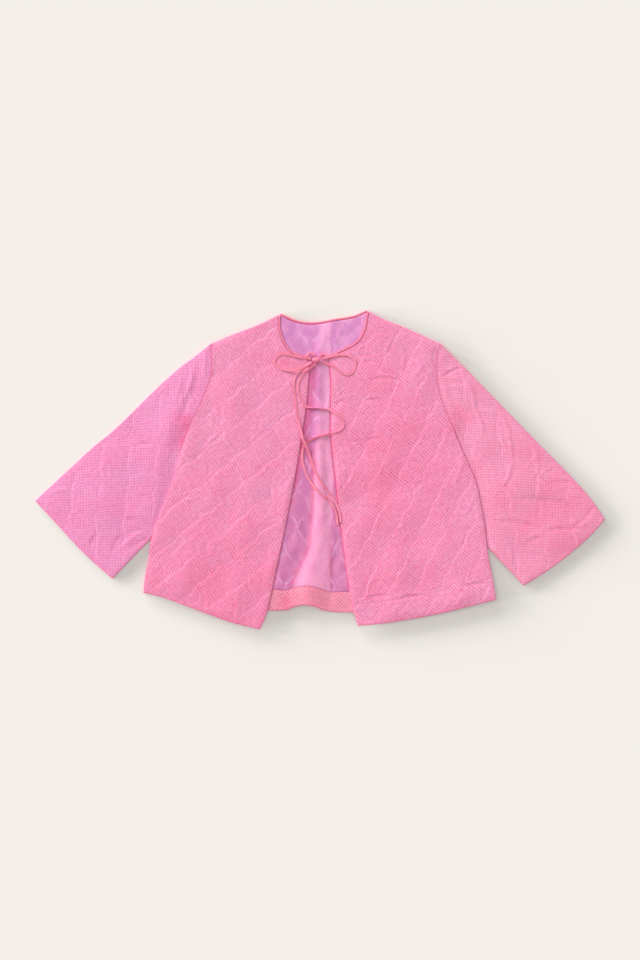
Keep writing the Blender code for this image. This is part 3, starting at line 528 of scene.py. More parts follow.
def turned(places: Array, angle: float) -> tuple[Array, Array]:
    """How far places lie along and across a direction given in degrees.

    Args:
        places: Places in plan.
        angle: The direction, anticlockwise from the x axis.

    Returns:
        The two distances for each place.
    """
    turn = math.radians(angle)
    x, y = places[:, 0], places[:, 1]
    return x * math.cos(turn) + y * math.sin(turn), y * math.cos(turn) - x * math.sin(turn)


def unevenness(points: Array, wavelength: float, seed: int) -> Array:
    """Smooth uneven values, mostly between -1 and 1.

    Args:
        points: Places in plan.
        wavelength: The usual distance from one rise to the next.
        seed: Which of the many uneven surfaces it is.

    Returns:
        One value for each point.
    """
    random = np.random.default_rng(seed)
    waves = 7
    total = np.zeros(len(points))
    for _ in range(waves):
        angle, phase = random.uniform(0, FULL_TURN, 2)
        length = wavelength * random.uniform(0.7, 1.5)
        total += np.sin((points[:, 0] * math.cos(angle) + points[:, 1] * math.sin(angle))
                        * FULL_TURN / length + phase)
    return total / math.sqrt(waves)


def crumples(points: Array, wavelength: float, seed: int) -> Array:
    """Thin uneven ridges that wander over parts of the cloth, 0 to 1."""
    ridges = np.clip(1 - 1.7 * np.abs(unevenness(points, wavelength, seed)), 0, 1) ** 2
    return ridges * smooth_step(unevenness(points, 2.3 * wavelength, seed + 1), -0.4, 1.0)


def scattered(first: Array, second: Array, seed: int) -> Array:
    """A steady scattered value from 0 to 1 for each pair of whole numbers."""
    mixed = np.sin(first * 12.9898 + second * 78.233 + seed * 37.719) * 43758.5453
    return mixed - np.floor(mixed)


@dataclass(frozen=True)
class Quilting:
    """Two families of wavy stitching lines that cross in soft diamonds."""

    x: float
    y: float
    angle_a: float
    spacing_a: float
    angle_b: float
    spacing_b: float
    wave: float
    puff: float
    weight_a: float = 1.0
    weight_b: float = 0.55
    steps: int = 26
    seed: int = 1
    wobble: float = 0.03
    crown_reach: float = 8.0
    lip: float = 0.88
    lip_width: float = 1.7
    lip_reach: float = 13.0
    pucker: float = 0.2
    pucker_length: float = 6.5
    pucker_reach: float = 7.0
    span: int = 16
    crowding: float = 0.55
    least_lip: float = 0.08

    def sway(self, other: Array, phase: float) -> Array:
        """How far the lines of one family lie off straight, by the other family's coordinate.

        Args:
            other: The other family's coordinate.
            phase: Where its waves start.

        Returns:
            How many spacings each place lies off.
        """
        slow = np.sin(2.7 * other + phase + self.seed)
        quick = np.sin(10.3 * other + 2 * phase + 3 * self.seed)
        return self.wave * np.sin(FULL_TURN * other) + self.wobble * (slow + 0.5 * quick)

    def cells(self, points: Array) -> tuple[Array, Array]:
        """Each point in quilting coordinates, whole numbers being the stitching lines.

        Args:
            points: Places in plan.

        Returns:
            The two coordinates of each place.
        """
        away = points - np.array([self.x, self.y])
        u = turned(away, self.angle_a)[1] / self.spacing_a
        v = turned(away, self.angle_b)[1] / self.spacing_b
        return u + self.sway(v, 0.0), v + self.sway(u, 1.3)

    def places(self, u: Array, v: Array) -> Array:
        """Where quilting coordinates lie on the panel.

        Args:
            u: How far across the first family of lines each place is.
            v: How far across the second family of lines each place is.

        Returns:
            One row for each place.
        """
        straight_u, straight_v = u.copy(), v.copy()
        for _ in range(10):
            straight_u, straight_v = u - self.sway(straight_v, 0.0), v - self.sway(straight_u, 1.3)
        a, b = math.radians(self.angle_a), math.radians(self.angle_b)
        across = np.array([[-math.sin(a), math.cos(a)], [-math.sin(b), math.cos(b)]])
        reach = np.column_stack([straight_u * self.spacing_a, straight_v * self.spacing_b])
        return reach @ np.linalg.inv(across).T + np.array([self.x, self.y])

    def lattice(self, low: Array, high: Array) -> Array:
        """Mesh points over a box, closer beside the stitching lines and exactly on them.

        Args:
            low: The box's lower corner.
            high: The box's upper corner.

        Returns:
            One row for each point.
        """
        marks = np.arange(-self.span * self.steps, self.span * self.steps + 1) / self.steps
        marks = marks - self.crowding * np.sin(FULL_TURN * marks) / FULL_TURN
        u, v = np.meshgrid(marks, marks)
        found = self.places(u.ravel(), v.ravel())
        return found[np.all((found > low) & (found < high), axis=1)]

    def height(self, points: Array, depth: Array) -> Array:
        """Height of the puffs and of the puckers beside the stitching, lower along the edges.

        Args:
            points: Places in plan.
            depth: How far each place lies inside the outline.

        Returns:
            One height for each place.
        """
        u, v = self.cells(points)
        beside_a = np.abs(u - np.round(u)) * self.spacing_a / self.crown_reach
        beside_b = np.abs(v - np.round(v)) * self.spacing_b / self.crown_reach
        crown = (1 - self.weight_a * np.exp(-beside_a)) * (1 - self.weight_b * np.exp(-beside_b))
        fullness = 0.75 + 0.5 * scattered(np.floor(u), np.floor(v), self.seed)
        edge = smooth_step(depth, 0, EDGE_FADE)
        fine = self.puckers(u, v) + self.lips(u, v)
        return self.puff * crown * fullness * (0.35 + 0.65 * edge) + fine * edge

    def lips(self, u: Array, v: Array) -> Array:
        """Each puff's steep side, just past its stitching line, from where it sinks away slowly.

        Args:
            u: How far across the first family of lines each place is.
            v: How far across the second family of lines each place is.

        Returns:
            One height for each place.
        """
        total = np.zeros(len(u))
        for cell, other, angle, spacing, other_spacing, weight in (
                (u, v, self.angle_a, self.spacing_a, self.spacing_b, self.weight_a),
                (v, u, self.angle_b, self.spacing_b, self.spacing_a, self.weight_b)):
            turn = math.radians(angle)
            counted = -math.copysign(1.0, math.sin(turn) + math.cos(turn)) * cell
            line = np.floor(counted)
            past = (counted - line) * spacing
            run = other * other_spacing
            fading = 0.66 + 0.34 * np.sin(run / 21.0 + 2.3 * line) + 0.2 * np.sin(run / 8.3 + 4.1 * line)
            rise = (1 - np.exp(-past / self.lip_width)) * np.exp(-past / self.lip_reach)
            total += weight * np.maximum(fading, self.least_lip) * rise
        return self.lip * total

    def puckers(self, u: Array, v: Array) -> Array:
        """Short gathers that run out from each stitching line.

        Args:
            u: How far across the first family of lines each place is.
            v: How far across the second family of lines each place is.

        Returns:
            One height for each place.
        """
        total = np.zeros(len(u))
        for across, along, spacing_across, spacing_along in (
                (u, v, self.spacing_a, self.spacing_b), (v, u, self.spacing_b, self.spacing_a)):
            line = np.round(across)
            distance = np.abs(across - line) * spacing_across
            run = along * spacing_along
            wander = 1.6 * np.sin(run / 17.0 + line * 2.1) + 1.1 * np.sin(run / 7.3 + line * 4.7)
            wave = np.sin(run * FULL_TURN / self.pucker_length + wander)
            strength = 0.4 + 0.6 * scattered(np.floor(run / 23.0), line, self.seed + 5)
            near = distance / self.pucker_reach
            total += wave * strength * near * 2.4 * np.exp(-(near * 1.6) ** 2)
        return self.pucker * total


QUILTS = {
    "front_left": Quilting(-170, -55, 39, 43, 110, 44, 0.035, 0.4, weight_b=0.7, seed=1),
    "front_right": Quilting(170, 60.4, 63, 37, 138, 42, 0.035, 0.4, weight_b=0.9, seed=2),
    "sleeve_left": Quilting(-329.8, -55, 86, 46, 176, 49, 0.04, 0.4, weight_b=0.4, seed=3),
    "sleeve_right": Quilting(318.8, -42.5, 98, 50, 172, 48, 0.04, 0.4, weight_b=0.4, seed=4),
    "back_lining": Quilting(-38, -98, 58, 36, 122, 36, 0.05, 0.45, weight_b=0.9, steps=20, seed=5,
                            lip=0.2),
}


def loft_height(name: str, points: Array) -> Array:
    """Broad rises of the panel off the layer below.

    Args:
        name: The panel's name.
        points: Places in plan.

    Returns:
        One height for each place.
    """
    total = np.zeros(len(points))
    for loft in LOFTS[name]:
        along, across = turned(points - np.array([loft.x, loft.y]), loft.angle)
        total += loft.height * np.exp(-(along / loft.along) ** 2 - (across / loft.across) ** 2)
    return total


def crease_height(name: str, points: Array) -> Array:
    """Rise of the listed folds, thinning out to both ends.

    Args:
        name: The panel's name.
        points: Places in plan.

    Returns:
        One height for each place.
    """
    total = np.zeros(len(points))
    for crease in CREASES.get(name, ()):
        start = np.array([crease.x1, crease.y1])
        step = np.array([crease.x2, crease.y2]) - start
        length = np.linalg.norm(step)
        direction = step / length
        away = points - start
        along = away @ direction
        across = away @ np.array([-direction[1], direction[0]])
        bow = CREASE_BOW * length * np.sin(math.pi * np.clip(along / length, 0, 1))
        taper = smooth_step(along, -0.15 * length, 0.3 * length)
        taper *= 1 - smooth_step(along, 0.7 * length, 1.15 * length)
        offset = (across - bow) / crease.width
        trough = CREASE_TROUGH * np.exp(-(offset - TROUGH_OFFSET) ** 2)
        total += crease.height * taper * (np.exp(-offset ** 2) - trough)
    return total


def fold_height(points: Array) -> Array:
    """Rise of the soft fold down the middle of the back.

    Args:
        points: Places in plan.

    Returns:
        One height for each place.
    """
    y, *columns = zip(*sorted(BACK_FOLD))
    centre, half_width, height = (np.interp(points[:, 1], y, column) for column in columns)
    share = np.clip(np.abs(points[:, 0] - centre) / half_width, 0, 1)
    return height * np.cos(share * math.pi / 2) ** 2


def triangulate(loop: Array, points: Array) -> list[tuple[int, int, int]]:
    """Triangles over the inside of the loop, as indices into the loop and then the points.

    Args:
        loop: The closed edge.
        points: The mesh points inside it.

    Returns:
        Three indices for each triangle.
    """
    places = [Vector(p) for p in np.concatenate([loop, points])]
    result = delaunay_2d_cdt(places, [], [list(range(len(loop)))], 1, WELD_REACH)
    origins = [origin[0] for origin in result[3]]
    triangles = []
    for face in result[2]:
        a, b, c = (origins[i] for i in face)
        area = (places[b] - places[a]).cross(places[c] - places[a])
        triangles.append((a, b, c) if area > 0 else (a, c, b))
    return triangles


def well_inside(points: Array, loop: Array, margin: float) -> Array:
    """The points that lie further inside the loop than the margin."""
    return points[depth_inside(points, loop) > margin]


def rim_points(loop: Array) -> Array:
    """Rings of points just inside the outline, which round its edge."""
    return np.concatenate([well_inside(inset(loop, reach), loop, RING_MARGIN * reach) for reach in RIM_RINGS])


def plain_points(loop: Array, spacing: float, margin: float) -> Array:
    """A staggered grid of points inside the loop.

    Args:
        loop: The closed edge.
        spacing: About how far apart the points are.
        margin: How far inside the loop they all lie.

    Returns:
        One row for each point.
    """
    low, high = loop.min(axis=0), loop.max(axis=0)
    lines = []
    for number, y in enumerate(np.arange(low[1], high[1], spacing * 0.8)):
        x = np.arange(low[0] + (number % 2) * spacing / 2, high[0], spacing)
        lines.append(np.column_stack([x, np.full(len(x), y)]))
    return well_inside(np.concatenate(lines), loop, margin)


@dataclass(frozen=True)
class Grain:
    """How the cloth's checks lie on a panel, pulled a little out of line by the quilting."""

    angle: float
    pull: float = 0.9
    seed: int = 0

    def checks(self, points: Array) -> Array:
        """Each point counted in repeats of the check, across and along the grain.

        Args:
            points: Places in plan.

        Returns:
            Two counts for each place.
        """
        pulled = points + self.pull * np.column_stack([unevenness(points, 70.0, self.seed),
                                                       unevenness(points, 70.0, self.seed + 1)])
        return np.column_stack(turned(pulled, self.angle)) / GINGHAM_REPEAT


def new_piece(name: str, vertices: Array, faces: Sequence[Sequence[int]]) -> bpy.types.Object:
    """A smooth piece from vertices in millimetres.

    Args:
        name: The piece's name.
        vertices: One row for each vertex.
        faces: The vertices of each face.

    Returns:
        The piece, in the scene.
    """
    mesh = bpy.data.meshes.new(name)
    mesh.from_pydata(vertices * MM, [], faces)
    mesh.shade_smooth()
    piece = bpy.data.objects.new(name, mesh)
    bpy.context.scene.collection.objects.link(piece)
    return piece


def declare(piece: bpy.types.Object, node: str, slot: str, finish: bpy.types.Material) -> bpy.types.Object:
    """Gives a piece its finish, puts it under its body and hides the solid that it stands for.

    Args:
        piece: The piece.
        node: The solid that it stands for.
        slot: Not used.
        finish: Its material.

    Returns:
        The same piece.
    """
    piece.data.materials.append(finish)
    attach(piece, BODY)
    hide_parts(node)
    LOG.info("%s: %d faces", piece.name, len(piece.data.polygons))
    return piece


class ClothShell:
    """Collects the layers and walls of one closed piece of cloth."""

    def __init__(self) -> None:
        """Starts with nothing in it."""
        self.vertices: list[Array] = []
        self.count = 0
        self.faces: list[tuple[int, ...]] = []

    def add_layer(self, loop: Array, points: Array, height: HeightRule, faces_up: bool) -> int:
        """Adds a surface over the loop.

        Args:
            loop: Its outline.
            points: The mesh points inside it.
            height: Gives heights for places and their depths inside the outline.
            faces_up: Whether its outer side is the upper one.

        Returns:
            The index of its first rim point.
        """
        first = self.count
        places = np.concatenate([loop, points])
        depth = np.concatenate([np.zeros(len(loop)), depth_inside(points, loop)])
        self.vertices.append(np.column_stack([places, height(places, depth)]))
        self.count += len(places)
        for a, b, c in triangulate(loop, points):
            self.faces.append((first + a, first + b, first + c) if faces_up
                              else (first + a, first + c, first + b))
        return first

    def add_wall(self, upper: int, lower: int, flags: Array, faces_out: bool = True) -> None:
        """Joins two rims along the stretches that are flagged.

        Args:
            upper: The upper rim's first vertex.
            lower: The lower rim's first vertex.
            flags: One flag for the stretch after each point.
            faces_out: Whether the wall's outer side faces out of the loop.
        """
        count = len(flags)
        for i in map(int, np.flatnonzero(flags)):
            after = (i + 1) % count
            face = (upper + i, lower + i, lower + after, upper + after)
            self.faces.append(face if faces_out else face[::-1])

    def make_object(self, name: str) -> bpy.types.Object:
        """The finished piece."""
        return new_piece(name, np.concatenate(self.vertices), self.faces)


def plan_of(piece: bpy.types.Object) -> Array:
    """The plan places of a piece's vertices, in millimetres.

    Args:
        piece: The piece.

    Returns:
        One row for each vertex.
    """
    found = np.zeros(len(piece.data.vertices) * 3)
    piece.data.vertices.foreach_get("co", found)
    return found.reshape(-1, 3)[:, :2] / MM


def add_map(piece: bpy.types.Object, name: str, values: Array) -> None:
    """Gives the mesh a UV map with one value pair for each vertex.

    Args:
        piece: The piece.
        name: The map's name.
        values: One pair for each vertex.
    """
    corners = np.zeros(len(piece.data.loops), dtype=int)
    piece.data.loops.foreach_get("vertex_index", corners)
    layer = piece.data.uv_layers.new(name=name)
    layer.data.foreach_set("uv", values[corners].astype(np.float32).ravel())


def add_mask(piece: bpy.types.Object, name: str, values: Array) -> None:
    """Gives the mesh one number for each vertex."""
    mask = piece.data.attributes.new(name, "FLOAT", "POINT")
    mask.data.foreach_set("value", values.astype(np.float32))


def display_colour(red: int, green: int, blue: int) -> tuple[float, float, float, float]:
    """A colour given as it shows on a display, made linear."""
    linear = [((c / 255 + 0.055) / 1.055) ** 2.4 if c > 10 else c / 255 / 12.92 for c in (red, green, blue)]
    return (*linear, 1.0)


class NodeSheet:
    """A node tree with short calls to add and join nodes."""

    def __init__(self, tree: bpy.types.NodeTree) -> None:
        """Works on the given tree."""
        self.tree = tree

    def add(self, kind: str, inputs: dict | None = None, **settings: object) -> bpy.types.Node:
        """Adds a node.

        Args:
            kind: Blender's name for the node, without its ShaderNode prefix.
            inputs: Values or sockets for its inputs, by name or number.
            settings: The node's own properties.

        Returns:
            The new node.
        """
        node = self.tree.nodes.new("ShaderNode" + kind)
        for key, value in settings.items():
            setattr(node, key, value)
        for key, value in (inputs or {}).items():
            if isinstance(value, Socket):
                self.tree.links.new(value, node.inputs[key])
            else:
                node.inputs[key].default_value = value
        return node

    def math(self, operation: str, first: Given, second: Given = 0.0, clamp: bool = False) -> Socket:
        """The result of a Math node on two values or sockets."""
        node = self.add("Math", {0: first, 1: second}, operation=operation, use_clamp=clamp)
        return node.outputs[0]

    def times(self, first: Given, second: Given) -> Socket:
        """The product of two values or sockets."""
        return self.math("MULTIPLY", first, second)

    def plus(self, first: Given, second: Given, clamp: bool = False) -> Socket:
        """The sum of two values or sockets."""
        return self.math("ADD", first, second, clamp)

    def less(self, first: Given, second: Given, clamp: bool = False) -> Socket:
        """The first value or socket less the second."""
        return self.math("SUBTRACT", first, second, clamp)

    def off(self, value: Given, middle: float) -> Socket:
        """How far a value is from a middle one."""
        return self.math("ABSOLUTE", self.less(value, middle))

    def sine(self, value: Given, rate: Given) -> Socket:
        """The sine of a value times a rate."""
        return self.math("SINE", self.times(value, rate))

    def ramp(self, value: Given, low: float, high: float, start: float = 0.0, end: float = 1.0) -> Socket:
        """A value carried smoothly from one range to another, and held at its ends.

        Args:
            value: The value or socket.
            low: Where the first range starts.
            high: Where the first range ends.
            start: Where the second range starts.
            end: Where the second range ends.

        Returns:
            The carried value.
        """
        node = self.add("MapRange", {"Value": value, "From Min": low, "From Max": high,
                                     "To Min": start, "To Max": end}, interpolation_type="SMOOTHSTEP")
        return node.outputs["Result"]

    def blend(self, factor: Given, first: Given | tuple, second: Given | tuple, blend_type: str = "MIX") -> Socket:
        """The colour between two colours."""
        node = self.add("Mix", {0: factor, 6: first, 7: second}, data_type="RGBA", blend_type=blend_type)
        return node.outputs[2]

    def link(self, source: Socket, target: Socket) -> None:
        """Joins two sockets."""
        self.tree.links.new(source, target)

    def group(self, name: str, inputs: dict) -> bpy.types.bpy_prop_collection:
        """The outputs of a shared effect, with its inputs given by name."""
        return self.add("Group", inputs, node_tree=GROUPS[name]).outputs

    def cloth_map(self, name: str) -> Socket:
        """One of the mesh's UV maps."""
        return self.add("UVMap", uv_map=name).outputs[0]

    def mask(self, name: str) -> Socket:
        """One of the mesh's masks."""
        return self.add("Attribute", attribute_name=name).outputs["Fac"]

    def noise(self, place: Socket, scale: Given, detail: float, **inputs: float) -> Socket:
        """Cloudy values over a place."""
        return self.add("TexNoise", {"Vector": place, "Scale": scale, "Detail": detail, **inputs}).outputs[0]

    def bump(self, height: Given, strength: float, distance: float, **inputs: Socket) -> Socket:
        """A normal dented by a height, in metres."""
        return self.add("Bump", {"Height": height, "Strength": strength, "Distance": distance, **inputs}).outputs[0]


def new_group(name: str, inputs: Sequence[tuple[str, str]], outputs: Sequence[tuple[str, str]]) -> tuple:
    """A shader node group with its sockets.

    Args:
        name: The group's name.
        inputs: A name and a kind for each input.
        outputs: A name and a kind for each output.

    Returns:
        The group, its sheet, the input node's outputs and the output node's inputs.
    """
    group = bpy.data.node_groups.new(name, "ShaderNodeTree")
    for label, kind in inputs:
        group.interface.new_socket(label, in_out="INPUT", socket_type="NodeSocket" + kind)
    for label, kind in outputs:
        group.interface.new_socket(label, in_out="OUTPUT", socket_type="NodeSocket" + kind)
    source = group.nodes.new("NodeGroupInput")
    target = group.nodes.new("NodeGroupOutput")
    return group, NodeSheet(group), source.outputs, target.inputs


def gingham_group() -> bpy.types.NodeTree:
    """Woven checks in three tones, with the height of their threads.

    Returns:
        The node group.
    """
    group, sheet, given, result = new_group(
        "gingham_weave", (("Vector", "Vector"), ("Light", "Color"), ("Middle", "Color"), ("Dark", "Color"),
                          ("Threads", "Float"), ("Lead", "Float")), (("Color", "Color"), ("Height", "Float")))
    axes = sheet.add("SeparateXYZ", {0: given["Vector"]})
    slubs = sheet.noise(given["Vector"], 0.7, 2.0)
    faded = sheet.ramp(slubs, 0.3, 0.7, 0.55, 1.3)
    stripes, threads = [], []
    for axis, weight in (("X", given["Lead"]), ("Y", sheet.less(2.0, given["Lead"]))):
        turn = sheet.times(axes.outputs[axis], FULL_TURN)
        stripe = sheet.times(sheet.ramp(sheet.math("SINE", turn), -0.6, 0.6), weight)
        stripes.append(sheet.times(stripe, faded))
        threads.append(sheet.sine(turn, given["Threads"]))
    share = sheet.plus(*stripes)
    pale = sheet.blend(sheet.math("MINIMUM", share, 1.0), given["Light"], given["Middle"])
    deep = sheet.less(share, 1.0, clamp=True)
    sheet.link(sheet.blend(deep, pale, given["Dark"]), result["Color"])
    sheet.link(sheet.times(*threads), result["Height"])
    return group


def stitching_group() -> bpy.types.NodeTree:
    """Short stitches along the quilting lines, and how near each place is to a line.

    Returns:
        The node group.
    """
    group, sheet, given, result = new_group(
        "quilt_stitches", (("Vector", "Vector"), ("Spacing", "Float"), ("Width", "Float"), ("Stitch", "Float")),
        (("Thread", "Float"), ("Valley", "Float")))
    axes = sheet.add("SeparateXYZ", {0: given["Vector"]})
    found = {"Thread": [], "Valley": []}
    for across, along in (("X", "Y"), ("Y", "X")):
        part = sheet.math("FRACT", sheet.plus(axes.outputs[across], 0.5))
        distance = sheet.times(sheet.off(part, 0.5), given["Spacing"])
        narrow = sheet.math("DIVIDE", distance, given["Width"])
        run = sheet.math("DIVIDE", sheet.times(axes.outputs[along], given["Spacing"]), given["Stitch"])
        dash = sheet.ramp(sheet.sine(run, FULL_TURN), -0.7, -0.2)
        found["Thread"].append(sheet.times(sheet.ramp(narrow, 0.35, 1.0, 1.0, 0.0), dash))
        found["Valley"].append(sheet.ramp(distance, 0.0, 4.0, 1.0, 0.0))
    for label, pair in found.items():
        sheet.link(sheet.math("MAXIMUM", *pair), result[label])
    return group


def mottle_group() -> bpy.types.NodeTree:
    """Cloudy unevenness of a dye, large and small together.

    Returns:
        The node group.
    """
    group, sheet, given, result = new_group(
        "dye_mottle", (("Vector", "Vector"), ("Scale", "Float")), (("Value", "Float"),))
    large = sheet.noise(given["Vector"], given["Scale"], 3.0)
    small = sheet.noise(given["Vector"], sheet.times(given["Scale"], 5.0), 2.0)
    total = sheet.plus(sheet.times(large, 0.7), sheet.times(small, 0.3))
    sheet.link(sheet.ramp(total, 0.35, 0.65), result["Value"])
    return group


GROUPS = {"gingham": gingham_group(), "stitching": stitching_group(), "mottle": mottle_group()}


def set_inputs(node: bpy.types.Node, values: dict) -> None:
    """Sets constant values on a node's own inputs."""
    for label, value in values.items():
        node.inputs[label].default_value = value


def new_material(name: str, roughness: float, sheen: float, sheen_tint: tuple) -> tuple:
    """A material whose Principled shader has its constant values set.

    Args:
        name: The material's name.
        roughness: How rough the cloth is.
        sheen: How strong its sheen is.
        sheen_tint: The colour of the sheen.

    Returns:
        The material, its node sheet and its shader.
    """
    material = bpy.data.materials.new(name)
    material.use_nodes = True
    shader = material.node_tree.nodes["Principled BSDF"]
    set_inputs(shader, {"Roughness": roughness, "Sheen Weight": sheen, "Sheen Roughness": 0.45,
                        "Sheen Tint": sheen_tint, "Specular IOR Level": 0.25, "Subsurface Weight": 0.3,
                        "Subsurface Radius": (1.0, 0.25, 0.4), "Subsurface Scale": 0.003})
    return material, NodeSheet(material.node_tree), shader


@dataclass(frozen=True)
class GinghamFinish:
    """Fine woven checks with quilting stitches, and painted shade where layers meet at the seams, along edges and in
    troughs.
    """

    name: str
    light: tuple = display_colour(255, 171, 206)
    middle: tuple = display_colour(251, 150, 188)
    dark: tuple = display_colour(240, 126, 168)
    painted_shading_and_tone: tuple = (0.97, 0.50, 0.60, 1.0)
    thread: tuple = display_colour(255, 178, 205)
    shadow_speck: tuple = (0.96, 0.80, 0.85, 1.0)
    light_speck: tuple = (1.03, 1.21, 1.16, 1.0)
    lead: float = 1.2
    roughness: float = 0.62
    spacing: float = 44.0

    def make(self) -> bpy.types.Material:
        """The finished material, which reads the cloth and quilt maps and the warmth mask.

        Returns:
            The material.
        """
        material, sheet, shader = new_material(self.name, self.roughness, 0.25, display_colour(255, 190, 215))
        cloth, place = sheet.cloth_map("cloth"), sheet.add("TexCoord").outputs["Object"]
        checks = sheet.group("gingham", {"Vector": cloth, "Light": self.light, "Middle": self.middle,
                                         "Dark": self.dark, "Threads": 8.0, "Lead": self.lead})
        stitches = sheet.group("stitching", {"Vector": sheet.cloth_map("quilt"), "Spacing": self.spacing,
                                             "Width": 0.45, "Stitch": 3.0})
        mottle = sheet.group("mottle", {"Vector": place, "Scale": 14.0})["Value"]
        # Painted shade: the shade mask, a little uneven dye and a touch of painted shade in the stitched valleys
        # deepen the colour.
        painted_shading_and_tone = sheet.plus(sheet.times(sheet.mask("painted_shade_and_tone"), 0.75), sheet.times(mottle, 0.14), clamp=True)
        painted_shading_and_tone = sheet.plus(painted_shading_and_tone, sheet.times(stitches["Valley"], 0.05), clamp=True)
        yarn = sheet.noise(cloth, 2.1, 3.0, Roughness=0.7)
        specks = sheet.add("ValToRGB", {0: yarn})
        for stop, position, colour in zip(specks.color_ramp.elements, (0.36, 0.64),
                                          (self.shadow_speck, self.light_speck)):
            stop.position, stop.color = position, colour
        colour = sheet.blend(1.0, checks["Color"], specks.outputs[0], "MULTIPLY")
        colour = sheet.blend(painted_shading_and_tone, colour, self.painted_shading_and_tone, "MULTIPLY")
        colour = sheet.blend(sheet.times(stitches["Thread"], 0.35), colour, self.thread)
        sheet.link(colour, shader.inputs["Base Color"])
        weave = sheet.bump(checks["Height"], 0.35, 0.00006)
        nap = sheet.bump(sheet.noise(place, 260.0, 2.0), 0.4, 0.0003, Normal=weave)
        sheet.link(sheet.bump(stitches["Thread"], 0.6, 0.0002, Normal=nap), shader.inputs["Normal"])
        rough = sheet.ramp(mottle, 0.0, 1.0, self.roughness - 0.05, self.roughness + 0.06)
        sheet.link(rough, shader.inputs["Roughness"])
        return material


@dataclass(frozen=True)
class LiningFinish:
    """Smooth lining with a soft shine and pale quilting stitches, painted lighter and pinker on its lit side, with
    painted shade in its folds and beside the fronts.
    """

    name: str
    shaded_side: tuple = display_colour(211, 122, 174)
    painted_shading_and_tone: tuple = display_colour(255, 163, 202)
    neck_shaded_side: tuple = display_colour(222, 142, 200)
    neck_lit_side: tuple = display_colour(255, 176, 220)
    deep: tuple = display_colour(228, 78, 128)
    thread: tuple = display_colour(252, 196, 232)
    roughness: float = 0.42
    spacing: float = 36.0
    neck_rises: tuple = ((0.03, 0.10, 0.45), (0.185, 0.215, 0.75))

    def make(self) -> bpy.types.Material:
        """The finished material, which reads the quilt map and the masks.

        Returns:
            The material.
        """
        material, sheet, shader = new_material(self.name, self.roughness, 0.35, display_colour(250, 190, 235))
        place, painted_light_and_tone = sheet.add("TexCoord").outputs["Object"], sheet.mask("painted_light_and_tone")
        stitches = sheet.group("stitching", {"Vector": sheet.cloth_map("quilt"), "Spacing": self.spacing,
                                             "Width": 1.0, "Stitch": 3.0})
        mottle = sheet.group("mottle", {"Vector": place, "Scale": 55.0})["Value"]
        cloudy = sheet.times(sheet.less(mottle, 0.5), 0.3)
        share = sheet.plus(painted_light_and_tone, cloudy, clamp=True)
        # Painted light: the lit colour where the fold faces the light, the shaded colour where it is turned away,
        # with cloudy uneven tone.
        colour = sheet.blend(share, self.shaded_side, self.painted_shading_and_tone)
        level = sheet.add("SeparateXYZ", {0: place}).outputs["Y"]
        clouds = sheet.blend(sheet.plus(cloudy, share, clamp=True), self.neck_shaded_side, self.neck_lit_side)
        for low, high, most in self.neck_rises:
            colour = sheet.blend(sheet.ramp(level, low, high, 0.0, most), colour, clouds)
        # Painted shade in the deep colour, from the shade mask.
        colour = sheet.blend(sheet.mask("painted_shade_and_tone"), colour, self.deep)
        thread = sheet.plus(sheet.times(stitches["Thread"], 0.34), sheet.times(stitches["Valley"], 0.2), clamp=True)
        # The pale stitches fade on the painted lit side.
        seen = sheet.times(sheet.ramp(painted_light_and_tone, 0.1, 0.7, 1.0, 0.1), sheet.ramp(mottle, 0.1, 0.7, 0.25, 1.0))
        colour = sheet.blend(sheet.times(thread, seen), colour, self.thread)
        sheet.link(colour, shader.inputs["Base Color"])
        ribs = sheet.add("TexWave", {"Vector": sheet.cloth_map("cloth"), "Scale": 6.0, "Distortion": 0.4})
        weave = sheet.bump(ribs.outputs["Fac"], 0.2, 0.00005)
        sheet.link(sheet.bump(stitches["Thread"], 0.6, 0.0002, Normal=weave), shader.inputs["Normal"])
        return material


@dataclass(frozen=True)
class TrimFinish:
    """Folded bias strip with a slanting weave, a line of stitches near its edge and a painted highlight along its
    top.
    """

    name: str
    main: tuple = display_colour(247, 120, 154)
    pale: tuple = display_colour(253, 156, 178)
    deep: tuple = display_colour(238, 100, 142)
    roughness: float = 0.6

    def make(self) -> bpy.types.Material:
        """The finished material, which reads the strip map in millimetres along and shares around.

        Returns:
            The material.
        """
        material, sheet, shader = new_material(self.name, self.roughness, 0.3, display_colour(255, 205, 205))
        place = sheet.add("TexCoord").outputs["Object"]
        axes = sheet.add("SeparateXYZ", {0: sheet.cloth_map("strip")}).outputs
        threads = sheet.sine(sheet.plus(axes["X"], sheet.times(axes["Y"], 9.0)), FULL_TURN / 0.9)
        stitch = sheet.sine(axes["X"], FULL_TURN / 2.6)
        line = sheet.times(sheet.ramp(sheet.off(axes["Y"], 0.36), 0.0, 0.03, 1.0, 0.0),
                           sheet.ramp(stitch, -0.6, 0.0))
        mottle = sheet.group("mottle", {"Vector": place, "Scale": 60.0})["Value"]
        # Painted highlight: paler along the top of the strip.
        colour = sheet.blend(sheet.ramp(sheet.off(axes["Y"], 0.25), 0.02, 0.17, 0.85, 0.0), self.main, self.pale)
        colour = sheet.blend(sheet.times(mottle, 0.3), colour, self.main)
        colour = sheet.blend(sheet.ramp(threads, -1.0, 1.0, 0.0, 0.2), colour, self.deep)
        colour = sheet.blend(sheet.times(line, 0.5), colour, self.pale)
        sheet.link(colour, shader.inputs["Base Color"])
        weave = sheet.bump(threads, 0.35, 0.00008)
        sheet.link(sheet.bump(line, 0.6, 0.0002, Normal=weave), shader.inputs["Normal"])
        return material


def side_places(table: tuple[Level, ...], side: Side) -> list[Point]:
    """One side's places from a table of limits."""
    return [Point(getattr(row, side.value), row.y) for row in table]


